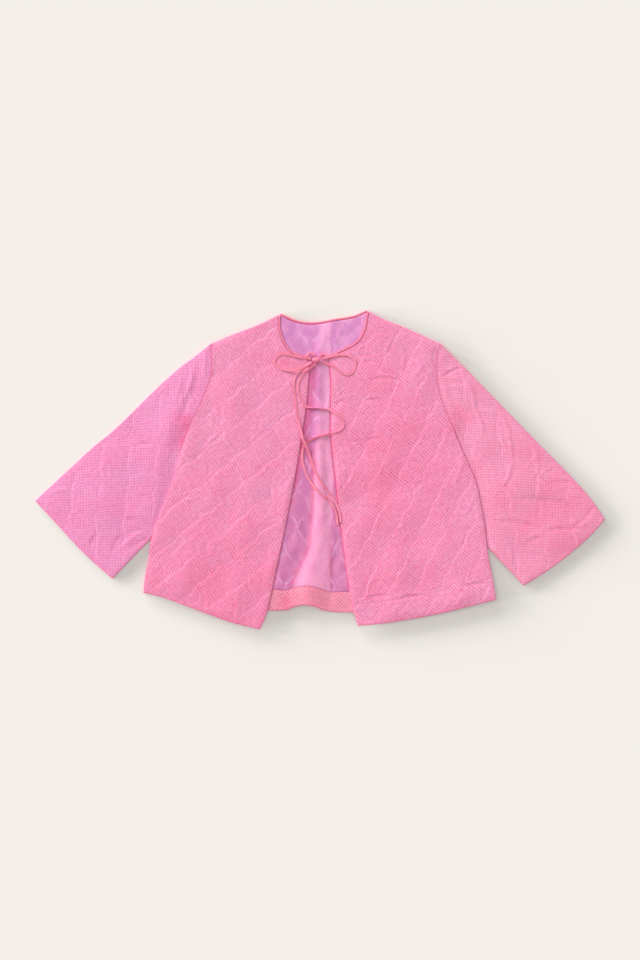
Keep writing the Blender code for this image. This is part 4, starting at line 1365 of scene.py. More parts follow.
@dataclass(frozen=True)
class Place:
    """What a panel's place in the layout gives: its outline tables and neighbours."""

    spacing: float = OUTLINE_SPACING

    def body_edge(self, side: Side) -> Array:
        """The visible side of the body, from the shoulder tip down to the hem corner."""
        return curve_through(side_places(BODY_EDGES, side) + [FRONT_HEMS[side][0]], self.spacing)

    def seam_edge(self, side: Side) -> tuple[Array, Array]:
        """The seam line of the body: beside the armhole's foot it is tucked in under the front.

        Args:
            side: Which side of the jacket.

        Returns:
            The line above the armhole's foot, and the line below it.
        """
        foot = UNDERARMS[side][-1]
        line = self.body_edge(side)
        above = line[line[:, 1] > foot.y + TUCK_RISE + FOOT_CLEARANCE]
        depth = TUCK_DEPTH * smooth_step(TUCK_TOP - above[:, 1], 0, TUCK_LENGTH)
        above = above + np.column_stack([side.into_panel * depth, np.zeros(len(above))])
        corner = np.array([foot.x + side.into_panel * TUCK_RISE * FOOT_SLANT, foot.y + TUCK_RISE])
        below = line[line[:, 1] < foot.y - FOOT_CLEARANCE]
        return np.vstack([above, corner]), np.vstack([np.array(foot), below])

    def front_loop(self, side: Side) -> Array:
        """Outline of a front, cut back under the neck binding.

        Args:
            side: Which side of the jacket.

        Returns:
            The loop, anticlockwise.
        """
        opening = curve_through([FRONT_HEMS[side][-1]] + side_places(OPENING_EDGES, side), self.spacing)
        neck = offset_line(curve_through(FRONT_NECKS[side], self.spacing),
                           side.into_panel * (FRONT_BINDING_WIDTH + SEAM_GAP))
        shoulder = curve_through(SHOULDERS[side], self.spacing)
        hem = curve_through(FRONT_HEMS[side], self.spacing)
        opening = opening[opening[:, 1] < neck[0, 1] - CORNER_CLEARANCE]
        return cut_loop(hem[:-1], opening, neck, shoulder[:-1], self.body_edge(side)[:-1])

    def back_outline(self, lower_edge: Array) -> Array:
        """Outline of the back or its lining, above the given lower edge.

        Args:
            lower_edge: The line from its left end to its right end.

        Returns:
            The loop, anticlockwise.
        """
        lowest = {Side.LEFT: lower_edge[0, 1], Side.RIGHT: lower_edge[-1, 1]}
        sides = {}
        for side in Side:
            whole = np.vstack(self.seam_edge(side))
            sides[side] = whole[whole[:, 1] > lowest[side] + CORNER_CLEARANCE]
        shoulder = {side: curve_through(SHOULDERS[side], self.spacing) for side in Side}
        neck = offset_line(curve_through(BACK_NECK, self.spacing), -(BACK_BINDING_WIDTH + SEAM_GAP))
        neck = neck[(neck[:, 0] > SHOULDERS[Side.LEFT][0].x + 1) & (neck[:, 0] < SHOULDERS[Side.RIGHT][0].x - 1)]
        return cut_loop(lower_edge, sides[Side.RIGHT][::-1], shoulder[Side.RIGHT][:-1][::-1], neck[::-1],
                        shoulder[Side.LEFT][:-1], sides[Side.LEFT])


FINE = Place()
COARSE = Place(9.0)
FRONT_LOOPS = {side: COARSE.front_loop(side) for side in Side}
ARMHOLES = {side: COARSE.body_edge(side)[:-1] for side in Side}
NECK_EDGES = {side: curve_through(FRONT_NECKS[side], ROUGH_SPACING) for side in Side}
HEM_EDGE = curve_through(BACK_HEM, OUTLINE_SPACING)
FACING_EDGE = curve_through(FACING_TOP, OUTLINE_SPACING)


def clear_of_fronts(points: Array) -> Array:
    """How far each point lies outside both fronts, negative under one."""
    return -np.maximum(*(depth_inside(points, loop) for loop in FRONT_LOOPS.values()))


def beside_facing_seam(points: Array) -> Array:
    """Where the lining and the hem facing are sewn together, 0 to 1."""
    return 1 - smooth_step(distance_to_line(points, FACING_EDGE), 2.5, 4.0)


def rim_drop(depth: Array) -> Array:
    """How far a rounded edge lies under the cloth's full height."""
    share = np.clip(depth / RIM_RINGS[-1], 0, 1)
    return RIM_DROP * (1 - np.sqrt(1 - (1 - share) ** 2))


def armhole_meeting(points: Array, side: Side) -> Array:
    """Where a front and its sleeve are sewn together at one height, 0 to 1."""
    distance = distance_to_line(points, ARMHOLES[side])
    return smooth_step(points[:, 1], 30.0, 80.0) * (1 - smooth_step(distance, 2.5, 7.0))


def armhole_ridge(points: Array, side: Side) -> Array:
    """The seam allowances' thickness under the edge, 0 to 1."""
    distance = distance_to_line(points, ARMHOLES[side])
    return smooth_step(points[:, 1], 20.0, 80.0) * np.exp(-(distance / 2.4) ** 2)


def armhole_gathers(points: Array, side: Side, seed: int) -> Array:
    """Gathers along the armhole, strongest over the shoulder."""
    puckers = seam_puckers(points, ARMHOLES[side], 7.5, 8.0, seed)
    return puckers * smooth_step(points[:, 1], -20.0, 90.0)


def painted_shade_share(name: str, points: Array) -> Array:
    """Painted shade in the panel's soft patches.

    Args:
        name: The panel's name.
        points: Places in plan.

    Returns:
        One share for each place.
    """
    total = np.zeros(len(points))
    for patch in PAINTED_SHADE_PATCHES.get(name, ()):
        away = points - np.array([patch.x, patch.y])
        total += patch.share * np.exp(-np.sum(away * away, axis=1) / patch.reach ** 2)
    return total


@dataclass
class Panel:
    """One cut piece of cloth, as a closed shell that stands for its solid."""

    name: str
    finish: bpy.types.Material
    material_slot: str
    grain: Grain
    rests_on: tuple[str, ...]
    layers: int = 1
    with_pieces: tuple[bpy.types.Object, ...] = field(default=())

    def outline(self) -> Array:
        """The panel's edge."""
        raise NotImplementedError

    def top(self, points: Array, depth: Array) -> Array:
        """Height of its outer side."""
        raise NotImplementedError

    def under(self, points: Array, depth: Array) -> Array:
        """Height of its inner side."""
        raise NotImplementedError

    def top_points(self, loop: Array) -> Array:
        """Mesh points of the outer side.

        Args:
            loop: The closed edge.

        Returns:
            One row for each point.
        """
        quilt = QUILTS.get(self.name)
        if quilt is None:
            found = plain_points(loop, PLAIN_SPACING / 3, MESH_MARGIN)
        else:
            found = well_inside(quilt.lattice(loop.min(axis=0), loop.max(axis=0)), loop, MESH_MARGIN)
        return np.concatenate([rim_points(loop), found])

    def painted_shade_and_tone(self, points: Array, depth: Array) -> Array:
        """Painted shade in its patches, along its edges and in troughs, with a little uneven tone.

        Args:
            points: Places in plan.
            depth: How far each place lies inside the outline.

        Returns:
            One share for each place.
        """
        # Painted shade: a dark line along every edge, and deeper colour in the creases' troughs.
        edge = 0.12 * (1 - smooth_step(depth, 0.5, 5.0)) + 0.45 * (1 - smooth_step(depth, 0.0, 1.9))
        trough = np.clip(-crease_height(self.name, points), 0, 1)
        uneven = 0.07 * unevenness(points, 60.0, 91)
        return np.clip(painted_shade_share(self.name, points) + edge + 0.35 * trough + uneven, 0, 1)

    def build(self) -> bpy.types.Object:
        """Returns:
            The declared piece.
        """
        loop = self.outline()
        shell = ClothShell()
        upper = shell.add_layer(loop, self.top_points(loop), self.top, faces_up=True)
        plain = plain_points(loop, PLAIN_SPACING, PLAIN_SPACING / 3)
        lower = shell.add_layer(loop, plain, self.under, faces_up=False)
        shell.add_wall(upper, lower, np.ones(len(loop), dtype=bool))
        return self.dress(shell.make_object(self.name + "_cloth"), loop)

    def dress(self, piece: bpy.types.Object, loop: Array) -> bpy.types.Object:
        """Args:
            piece: The piece.
            loop: The closed edge.

        Returns:
            The same piece.
        """
        places = plan_of(piece)
        depth = np.maximum(depth_inside(places, loop), 0)
        add_map(piece, "cloth", self.grain.checks(places))
        quilt = QUILTS.get(self.name)
        cells = np.column_stack(quilt.cells(places)) if quilt else np.full((len(places), 2), 0.5)
        add_map(piece, "quilt", cells)
        add_mask(piece, "painted_shade_and_tone", self.painted_shade_and_tone(places, depth))
        add_mask(piece, "painted_light_and_tone", self.painted_light_and_tone(places))
        declare(piece, self.name, self.material_slot, self.finish)
        width, length = np.ptp(loop, axis=0) * MM
        list(self.rests_on)
        abs(signed_area(loop)) * self.layers * MM * MM
        list(self.with_pieces)
        return piece

    def painted_light_and_tone(self, points: Array) -> Array:
        """The share of painted light between the shaded and the lit colours, the same everywhere."""
        return np.full(len(points), 0.5)


class Back(Panel):
    """The back's outer cloth, which lies on the surface."""

    def outline(self) -> Array:
        """The whole back, down to its hem."""
        return FINE.back_outline(HEM_EDGE)

    def top(self, points: Array, depth: Array) -> Array:
        """Flat under the lining, and rounded at its edge."""
        return BACK_WALL - rim_drop(depth)

    def under(self, points: Array, depth: Array) -> Array:
        """Flat on the surface."""
        return np.zeros(len(points))


class OnBack(Panel):
    """A panel that lies on the back and rises over its soft fold."""

    def level(self, points: Array) -> Array:
        """Height of the outer side without its fine relief."""
        return LINING_BASE + LINING_WALL + fold_height(points)

    def under(self, points: Array, depth: Array) -> Array:
        """Follows the soft fold."""
        return LINING_BASE + fold_height(points)


class BackLining(OnBack):
    """The back's lining, quilted, with a soft fold down its middle."""

    def outline(self) -> Array:
        """The back above its hem facing."""
        return FINE.back_outline(FACING_EDGE)

    def shown(self, points: Array) -> Array:
        """1 where the open front shows the lining, 0 under a front."""
        return smooth_step(clear_of_fronts(points), -1.0, 6.0)

    def top_points(self, loop: Array) -> Array:
        """Fine where the lining shows and plain under the fronts.

        Args:
            loop: The closed edge.

        Returns:
            One row for each point.
        """
        fine = QUILTS[self.name].lattice(loop.min(axis=0), loop.max(axis=0))
        fine = well_inside(fine[clear_of_fronts(fine) > -FINE_UNDER_FRONTS], loop, MESH_MARGIN)
        plain = plain_points(loop, PLAIN_SPACING, MESH_MARGIN)
        plain = plain[clear_of_fronts(plain) < -PLAIN_UNDER_FRONTS]
        return np.concatenate([rim_points(loop), fine, plain])

    def top(self, points: Array, depth: Array) -> Array:
        """The quilted side, level under the fronts.

        Args:
            points: Places in plan.
            depth: How far each place lies inside the outline.

        Returns:
            One height for each place.
        """
        shown = self.shown(points)
        fine = QUILTS[self.name].height(points, depth) + crease_height(self.name, points)
        fine += 0.35 * unevenness(points, 55.0, 21) + 0.7 * crumples(points * np.array([1.0, 0.28]), 17.0, 23)
        sewn = 0.5 * beside_facing_seam(points)
        return self.level(points) + np.maximum(fine, 0) * shown - rim_drop(depth) * (1 - sewn)

    def painted_shade_and_tone(self, points: Array, depth: Array) -> Array:
        """Painted shadow beside the fronts' edges below the bow, and painted shade along the fold lines.

        Args:
            points: Places in plan.
            depth: How far each place lies inside the outline.

        Returns:
            One share for each place.
        """
        beside = {side: -depth_inside(points, loop) for side, loop in FRONT_LOOPS.items()}
        below = 1 - smooth_step(points[:, 1], 178.0, 196.0)
        reach = 12.0 + 9.0 * smooth_step(points[:, 1], -10.0, 60.0)
        # Painted shadow that the fronts' edges cast on the lining.
        left = (1 - smooth_step(beside[Side.LEFT] / reach, 0.0, 1.0)) * smooth_step(points[:, 1], -110.0, 0.0)
        right = 0.4 * (1 - smooth_step(beside[Side.RIGHT], 0.5, 4.5))
        right *= 0.35 + 0.65 * smooth_step(points[:, 1], -160.0, -20.0)
        right += 0.55 * (1 - smooth_step(beside[Side.RIGHT], 0.3, 2.8))
        fold_shade = np.zeros(len(points))
        for fold in LINING_FOLD_SHADES:
            distance, along = nearest_on_line(points, curve_through(fold.places, ROUGH_SPACING))
            ends = smooth_step(along, 0.0, 14.0) * (1 - smooth_step(along, along.max() - 14.0, along.max()))
            fold_shade += fold.share * ends * np.exp(-(distance / fold.width) ** 2)
        return np.clip(below * (0.6 * left + right) + fold_shade, 0, 1)

    def painted_light_and_tone(self, points: Array) -> Array:
        """Painted light: shaded on the flat left side and at the neck, and lit where it faces the light, with a
        little uneven tone.

        Args:
            points: Places in plan.

        Returns:
            One share for each place.
        """
        y, left, right = zip(*sorted(LINING_LIT_SIDES))
        left, right = (np.interp(points[:, 1], y, column) for column in (left, right))
        lit = smooth_step(points[:, 0], left - 7.0, left + 7.0)
        # Painted shade beside the right front's edge.
        lit *= 1 - 0.85 * smooth_step(points[:, 0], right - 1.5, right + 3.0)
        return np.clip(0.12 + 0.8 * lit + 0.14 * unevenness(points, 26.0, 93), 0, 1)


class HemFacing(OnBack):
    """The gingham band that faces the back's hem."""

    def outline(self) -> Array:
        """Between the hem and the lining."""
        return cut_loop(HEM_EDGE, FACING_EDGE[::-1])

    def top(self, points: Array, depth: Array) -> Array:
        """Rises over the soft fold.

        Args:
            points: Places in plan.
            depth: How far each place lies inside the outline.

        Returns:
            One height for each place.
        """
        fine = crease_height(self.name, points) + 0.3 * unevenness(points, 38.0, 31)
        fine *= smooth_step(depth, 0, 6.0) * smooth_step(-np.abs(points[:, 0] + 15.0), -70.0, -50.0)
        sewn = 0.7 * beside_facing_seam(points)
        return self.level(points) + np.maximum(fine, 0) - rim_drop(depth) * (1 - sewn)


@dataclass
class Front(Panel):
    """One quilted front, with its facings' edges stitched through."""

    side: Side = Side.LEFT
    facing_depth: float = 37.0
    topstitch_depth: float = 21.0
    groove: float = 0.45
    groove_width: float = 1.3

    def outline(self) -> Array:
        """The front, cut back under its neck binding."""
        return FINE.front_loop(self.side)

    def under(self, points: Array, depth: Array) -> Array:
        """Lies on the lining and rises where the front is lofted."""
        return FRONT_BASE + loft_height(self.name, points) * smooth_step(depth, 0, 2 * EDGE_FADE)

    def stitched_lines(self, points: Array) -> Array:
        """Troughs along the hem facing and the front facing, 0 to 1.

        Args:
            points: Places in plan.

        Returns:
            One share for each place.
        """
        hem, opening = (distance_to_line(points, curve_through(edge, ROUGH_SPACING))
                        for edge in (FRONT_HEMS[self.side], side_places(OPENING_EDGES, self.side)))
        hem_line = np.exp(-((hem - self.facing_depth) / self.groove_width) ** 2)
        hem_line *= smooth_step(opening, 4.0, 14.0) * (0.25 if self.side is Side.LEFT else 0.7)
        front_line = np.exp(-((opening - self.topstitch_depth) / self.groove_width) ** 2)
        front_line *= smooth_step(hem, 30.0, 40.0) * 0.2
        return np.maximum(hem_line, front_line) * (0.7 + 0.3 * unevenness(points, 40.0, 67))

    def top(self, points: Array, depth: Array) -> Array:
        """The quilted outer side.

        Args:
            points: Places in plan.
            depth: How far each place lies inside the outline.

        Returns:
            One height for each place.
        """
        inner = smooth_step(depth, 0, 8.0)
        fine = QUILTS[self.name].height(points, depth)
        lines = self.stitched_lines(points)
        fine = fine * (1 - 0.75 * lines) - self.groove * lines * inner
        fine += (1.2 * crease_height(self.name, points) + 0.45 * unevenness(points, 85.0, 41)) * inner
        fine += 0.45 * crumples(points, 27.0, 63 if self.side is Side.LEFT else 65) * inner
        fine += 0.2 * armhole_gathers(points, self.side, 43)
        fine += 0.12 * seam_puckers(points, NECK_EDGES[self.side], 6.5, 9.0, 45) * inner
        if self.side is Side.LEFT:
            fine += 0.3 * armhole_ridge(points, self.side)
        least = -MOST_THINNING * FRONT_WALL
        bound = 1 - smooth_step(distance_to_line(points, NECK_EDGES[self.side]), 6.0, 8.0)
        exposed = 1 - np.maximum(armhole_meeting(points, self.side), bound)
        return self.under(points, depth) + FRONT_WALL + np.maximum(fine, least) - rim_drop(depth) * exposed


@dataclass
class Sleeve(Panel):
    """One quilted sleeve as a flattened tube, open at the armhole and the cuff."""

    side: Side = Side.LEFT

    def runs(self) -> tuple[Array, Array]:
        """The outline, and which of its stretches are open.

        Returns:
            The loop, and a flag for the stretch after each point.
        """
        armhole, _ = FINE.seam_edge(self.side)
        foot = np.array(UNDERARMS[self.side][-1])
        upper_fold = curve_through(SLEEVE_TOPS[self.side], OUTLINE_SPACING)
        cuff = curve_through(CUFFS[self.side], OUTLINE_SPACING)
        underarm = np.vstack([curve_through(UNDERARMS[self.side], OUTLINE_SPACING), armhole[-1]])
        armhole = np.vstack([foot, armhole[::-1]])[1:]
        loop, is_open = join_runs((armhole, True), (upper_fold, False), (cuff, True), (underarm, False))
        return inset(loop, SEAM_GAP / 2), is_open

    def outline(self) -> Array:
        """The flattened tube's edge."""
        return self.runs()[0]

    def cavity_top(self, points: Array, depth: Array) -> Array:
        """Inner side of the upper wall.

        Args:
            points: Places in plan.
            depth: How far each place lies inside the outline.

        Returns:
            One height for each place.
        """
        beside_body = -depth_inside(points, FRONT_LOOPS[self.side])
        cap = smooth_step(points[:, 1], TUCK_TOP, TUCK_TOP + 40.0)
        rise = (FRONT_BASE - SLEEVE_WALL - SLEEVE_CAVITY) * cap * (1 - smooth_step(beside_body, 0, 40.0))
        rise = np.maximum(rise, loft_height(self.name, points) * smooth_step(beside_body, 4.0, 30.0))
        edge = smooth_step(depth, 0, 2.5 * EDGE_FADE)
        return SLEEVE_WALL + SLEEVE_CAVITY + rise * np.maximum(edge, cap * cap)

    def top(self, points: Array, depth: Array) -> Array:
        """The quilted outer side.

        Args:
            points: Places in plan.
            depth: How far each place lies inside the outline.

        Returns:
            One height for each place.
        """
        free = smooth_step(-depth_inside(points, FRONT_LOOPS[self.side]), 1.0, 12.0)
        fine = QUILTS[self.name].height(points, depth)
        inner = smooth_step(depth, 0, 8.0)
        fine += (1.2 * crease_height(self.name, points) + 0.5 * unevenness(points, 90.0, 51)) * inner
        fine += 0.4 * crumples(points, 26.0, 53 if self.side is Side.LEFT else 55) * inner
        gathers = 0.34 * armhole_gathers(points, self.side, 47)
        if self.side is Side.RIGHT:
            gathers += 0.3 * armhole_ridge(points, self.side)
        exposed = 1 - armhole_meeting(points, self.side)
        return (self.cavity_top(points, depth) + SLEEVE_WALL + gathers
                + np.maximum(fine, -MOST_THINNING * SLEEVE_WALL) * free - rim_drop(depth) * exposed)

    def build(self) -> bpy.types.Object:
        """Returns:
            The declared piece.
        """
        outer, is_open = self.runs()
        inner = inset(outer, SLEEVE_WALL)
        open_before = np.roll(is_open, 1)
        inner[is_open & open_before] = outer[is_open & open_before]
        corners = np.flatnonzero(is_open != open_before)
        for corner in corners:
            neighbour = (corner + 1) % len(outer) if is_open[corner] else corner - 1
            along = outer[neighbour] - outer[corner]
            inner[corner] = outer[corner] + along / np.linalg.norm(along) * SLEEVE_WALL
        shell = ClothShell()
        plain = plain_points(inner, PLAIN_SPACING, PLAIN_SPACING / 3)
        top = shell.add_layer(outer, self.top_points(outer), self.top, faces_up=True)
        ceiling = shell.add_layer(inner, plain, self.cavity_top, faces_up=False)
        floor = shell.add_layer(inner, plain, lambda p, d: np.full(len(p), SLEEVE_WALL), faces_up=True)
        under = shell.add_layer(outer, plain, lambda p, d: np.zeros(len(p)), faces_up=False)
        shell.add_wall(top, under, ~is_open)
        shell.add_wall(ceiling, floor, ~is_open, faces_out=False)
        shell.add_wall(top, ceiling, is_open)
        shell.add_wall(floor, under, is_open)
        for corner in map(int, corners):
            ring = (ceiling + corner, top + corner, under + corner, floor + corner)
            shell.faces.append(ring if is_open[corner] else ring[::-1])
        return self.dress(shell.make_object(self.name + "_cloth"), outer)


def sweep(name: str, path: Array, section: Array, roll: Array | None = None) -> bpy.types.Object:
    """A closed strip along a path.

    Args:
        name: The new object's name.
        path: The middle line, one row of x, y and z for each ring.
        section: The cross section as rows of across and up, anticlockwise.
        roll: How far each ring is turned about the path, in radians.

    Returns:
        The strip, with a map of millimetres along and a share around.
    """
    across = np.column_stack([-to_left(unit_rows(np.gradient(path[:, :2], axis=0))), np.zeros(len(path))])
    turn = np.zeros(len(path)) if roll is None else roll
    rings = []
    for centre, side, angle in zip(path, across, turn):
        flat = section[:, 0] * math.cos(angle) - section[:, 1] * math.sin(angle)
        rise = section[:, 0] * math.sin(angle) + section[:, 1] * math.cos(angle)
        rings.append(centre + flat[:, None] * side + rise[:, None] * np.array([0, 0, 1]))
    size = len(section)
    faces = []
    for ring in range(len(path) - 1):
        for i in range(size):
            a, b = ring * size + i, ring * size + (i + 1) % size
            faces.append((a, a + size, b + size, b))
    last = (len(path) - 1) * size
    faces.append(tuple(range(size)))
    faces.append(tuple(range(last + size - 1, last - 1, -1)))
    piece = new_piece(name, np.concatenate(rings), faces)
    around = np.tile(np.arange(size) / size, len(path))
    add_map(piece, "strip", np.column_stack([np.repeat(run_along(path), size), around]))
    return piece


def rounded_section(half_width: float, half_height: float, squareness: float = 2.6, sides: int = 20) -> Array:
    """A soft-edged flat cross section.

    Args:
        half_width: Half its width.
        half_height: Half its height.
        squareness: 2 for an ellipse, and more for flatter sides.
        sides: How many points it has.

    Returns:
        One row of across and up for each point.
    """
    turn = np.linspace(0, FULL_TURN, sides, endpoint=False) + math.pi / sides
    power = 2 / squareness
    across = np.sign(np.cos(turn)) * np.abs(np.cos(turn)) ** power * half_width
    up = np.sign(np.sin(turn)) * np.abs(np.sin(turn)) ** power * half_height
    return np.column_stack([across, up])


# Where each binding's end leaves the neck edge for the bow, and how far it rises there.
TIE_ROOTS = {
    Side.LEFT: rows(Point, (-20, 194.6), (-17.6, 198.6), (-12.2, 197.6), (-9.4, 193.4)),
    Side.RIGHT: rows(Point, (8.5, 193.8), (4, 195.6), (-1.2, 193.2)),
}
TIE_ROOT_LIFTS = {Side.LEFT: (1.2, 2, 3, 3.8), Side.RIGHT: (1.6, 2.6, 3.8)}


@dataclass(frozen=True)
class NeckBinding:
    """The bias strips that bind the neck edge, and their ends that run into the bow."""

    finish: bpy.types.Material

    def back(self) -> bpy.types.Object:
        """The strip round the back's neck.

        Returns:
            The declared strip.
        """
        half_width = BACK_BINDING_WIDTH / 2 - SEAM_GAP / 2
        half_height = (LINING_BASE + LINING_WALL) / 2
        line = offset_line(curve_through(BACK_NECK, 2.0), -BACK_BINDING_WIDTH / 2)
        path = np.column_stack([line, np.full(len(line), half_height)])
        strip = sweep("neck_binding_back_strip", path, rounded_section(half_width, half_height, squareness=4.0))
        return declare(strip, "neck_binding_back", TRIM_SLOT, self.finish)

    def front(self, side: Side) -> bpy.types.Object:
        """The strip round one front's neck, and its root at the bow.

        Args:
            side: Which side of the jacket.

        Returns:
            The declared strip.
        """
        centre_height = FRONT_BASE + FRONT_BINDING_HEIGHT / 2
        line = curve_through(FRONT_NECKS[side], 3.0)
        line = offset_line(line, side.into_panel * FRONT_BINDING_WIDTH / 2)[2:]
        bound = np.column_stack([line, np.full(len(line), centre_height)])
        root = [(p.x, p.y, centre_height + lift) for p, lift in zip(TIE_ROOTS[side], TIE_ROOT_LIFTS[side])]
        path = curve_through(np.vstack([np.array(root)[::-1], bound]), 1.6)
        path[:, 2] += 0.12 * unevenness(path[:, :2], 14.0, 61)
        section = rounded_section(FRONT_BINDING_WIDTH / 2 - SEAM_GAP / 2, FRONT_BINDING_HEIGHT / 2,
                                  squareness=3.0)
        strip = sweep(f"neck_binding_{side.value}_strip", path, section)
        return declare(strip, "neck_binding_" + side.value, TRIM_SLOT, self.finish)


class Tie(NamedTuple):
    """One free stretch of the ties: its route and what is at its far end."""

    name: str
    far_end: str
    route: tuple[RoutePoint, ...]


CROSSING_LIFT = 4.9
TIES = (
    Tie("bow_loop_left", "object", rows(RoutePoint, (-14.6, 189, 0.9), (-31.1, 190.8, 1.4), (-45.9, 193.8, 0.6),
        (-65.3, 195.5), (-78.2, 184.1), (-70.2, 172.7), (-50.7, 168.6, 2), (-36, 170.2, CROSSING_LIFT),
        (-25.5, 175.6, CROSSING_LIFT), (-14.8, 183, 4.4))),
    Tie("bow_loop_right", "object", rows(RoutePoint, (1.8, 189.2, 0.9), (14.3, 191.4, 0.9), (34, 195.5, 0.6),
        (48.5, 193.8), (58.3, 185.6), (59.8, 176), (53.4, 163.7), (43.7, 162), (32.3, 167.8), (17.7, 177.6, 0.4),
        (1.8, 183.6, 0.9))),
    Tie("tie_tail_left", "bare", rows(RoutePoint, (-6.2, 180.3), (-21.5, 168.5), (-36.6, 149.9), (-37.6, 135.3),
        (-31.1, 119), (-21.6, 107.4), (-2.4, 104.9), (15.8, 102.3), (39.1, 84.1), (37.1, 70.6), (15.3, 61.5),
        (-11.9, 52.4), (-27.5, 39.4), (-30.4, 21.4), (-27.9, 6.8), (-21.4, -11.1), (-11.1, -27.2), (1.7, -40),
        (13.6, -49.3), (22.1, -60.4), (27.7, -74.8), (29.6, -96))),
    Tie("tie_tail_right", "bare", rows(RoutePoint, (-13.6, 181.6), (-29.6, 173.6), (-43.4, 155), (-43.4, 132),
        (-40, 108), (-36.5, 88), (-32.6, 66, 1), (-28, 49.3, CROSSING_LIFT), (-22.5, 38, CROSSING_LIFT),
        (-17.6, 24.5, 1.2), (-12.6, 10), (-6.6, -4.4), (1.4, -18.6), (9.4, -32), (18.4, -43.6), (27.2, -56.4),
        (33, -71.9), (35.4, -92))),
)


@dataclass
class Ties:
    """The flat ties, laid on the cloth along their routes."""

    finish: bpy.types.Material
    fronts: dict[Side, Front]
    lining: BackLining
    width: float = 4.5
    thickness: float = 0.6
    step: float = 1.6
    on_edge: float = 1.2
    edge_rise: float = 0.7
    footprint: float = 0.35
    clearance: float = 0.05

    def cloth_height(self, points: Array) -> Array:
        """Top of the cloth under a place near the opening.

        Args:
            points: Places in plan.

        Returns:
            One height for each place.
        """
        top = self.lining.top(points, np.full(len(points), FAR_INSIDE))
        for side, front in self.fronts.items():
            depth = depth_inside(points, FRONT_LOOPS[side])
            over = depth > -FRONT_BINDING_WIDTH - 1.0
            top = np.where(over, np.maximum(top, front.top(points, np.maximum(depth, 0))), top)
        bound = (points[:, 1] > FRONT_NECKS[Side.LEFT][0].y - 6) & (top > FRONT_BASE)
        return np.where(bound, np.maximum(top, FRONT_BASE + FRONT_BINDING_HEIGHT), top)

    def path(self, tie: Tie) -> Array:
        """The route laid on the cloth, lifted where it crosses another strand.

        Args:
            tie: The stretch of tie.

        Returns:
            One row of x, y and z for each ring.
        """
        fine = curve_through(tie.route, 2.0)
        half = self.footprint * self.width
        rest = self.cloth_height(fine[:, :2])
        for turn in np.linspace(0, FULL_TURN, 8, endpoint=False):
            beside = fine[:, :2] + half * np.array([math.cos(turn), math.sin(turn)])
            rest = np.maximum(rest, self.cloth_height(beside))
        reach = 2
        for combine in (np.max, np.mean):
            padded = np.pad(rest, reach, mode="edge")
            rest = combine([padded[i:i + len(rest)] for i in range(2 * reach + 1)], axis=0)
        lift = np.maximum(fine[:, 2], 0) + self.edge_rise * self.edgeways(fine)
        fine[:, 2] = rest + self.clearance + self.thickness / 2 + lift
        return curve_through(fine[:: 2], self.step)

    def edgeways(self, path: Array) -> Array:
        """Where a tie crosses the open lining on its edge, 0 to 1."""
        clear = clear_of_fronts(path[:, :2])
        return smooth_step(clear, 0.0, 6.0) * smooth_step(path[:, 1], 40.0, 60.0) * (path[:, 1] < 150.0)

    def build(self) -> None:
        """Makes and declares each free stretch."""
        section = rounded_section(self.width / 2, self.thickness / 2, squareness=2.8)
        for number, tie in enumerate(TIES):
            path = self.path(tie)
            along = np.arange(len(path)) * self.step
            roll = 0.16 * np.sin(along / 19.0 + number) + 0.10 * np.sin(along / 7.0 + 2 * number)
            roll += self.on_edge * self.edgeways(path)
            strip = sweep(tie.name + "_strip", path, section, roll)
            declare(strip, tie.name, TRIM_SLOT, self.finish)
            float(run_along(path)[-1]) * MM


@dataclass(frozen=True)
class BowKnot:
    """The knot of the bow, a tight lump of wrapped strip."""

    finish: bpy.types.Material
    centre: tuple[float, float, float] = (-6.4, 186.4, 9.0)
    half_size: tuple[float, float, float] = (6.9, 4.6, 3.2)

    def build(self) -> bpy.types.Object:
        """Models the knot from a ball, with the grooves of its wraps.

        Returns:
            The declared piece.
        """
        bpy.ops.object.select_all(action="DESELECT")
        bpy.ops.mesh.primitive_uv_sphere_add(segments=56, ring_count=32, radius=MM,
                                             location=[c * MM for c in self.centre])
        knot = bpy.context.active_object
        knot.name = knot.data.name = "bow_knot_form"
        bpy.ops.object.mode_set(mode="EDIT")
        bpy.ops.mesh.select_all(action="SELECT")
        bpy.ops.transform.resize(value=self.half_size)
        bpy.ops.object.mode_set(mode="OBJECT")
        bpy.ops.object.transform_apply(location=True, rotation=True, scale=True)
        centre = np.array(self.centre) * MM
        half = np.array(self.half_size) * MM
        places = np.zeros(len(knot.data.vertices) * 3)
        knot.data.vertices.foreach_get("co", places)
        places = places.reshape(-1, 3)
        unit = (places - centre) / half
        wraps = np.abs(np.sin(2.6 * unit[:, 0] + 0.9 * unit[:, 1] + 0.4)) ** 0.6
        squeeze = 0.88 + 0.14 * wraps
        places = centre + unit * half * squeeze[:, None]
        knot.data.vertices.foreach_set("co", places.ravel())
        knot.data.shade_smooth()
        turn = np.arctan2(unit[:, 2], unit[:, 1]) / FULL_TURN
        add_map(knot, "strip", np.column_stack([unit[:, 0] * self.half_size[0] * 2, turn]))
        return declare(knot, "bow_knot", TRIM_SLOT, self.finish)


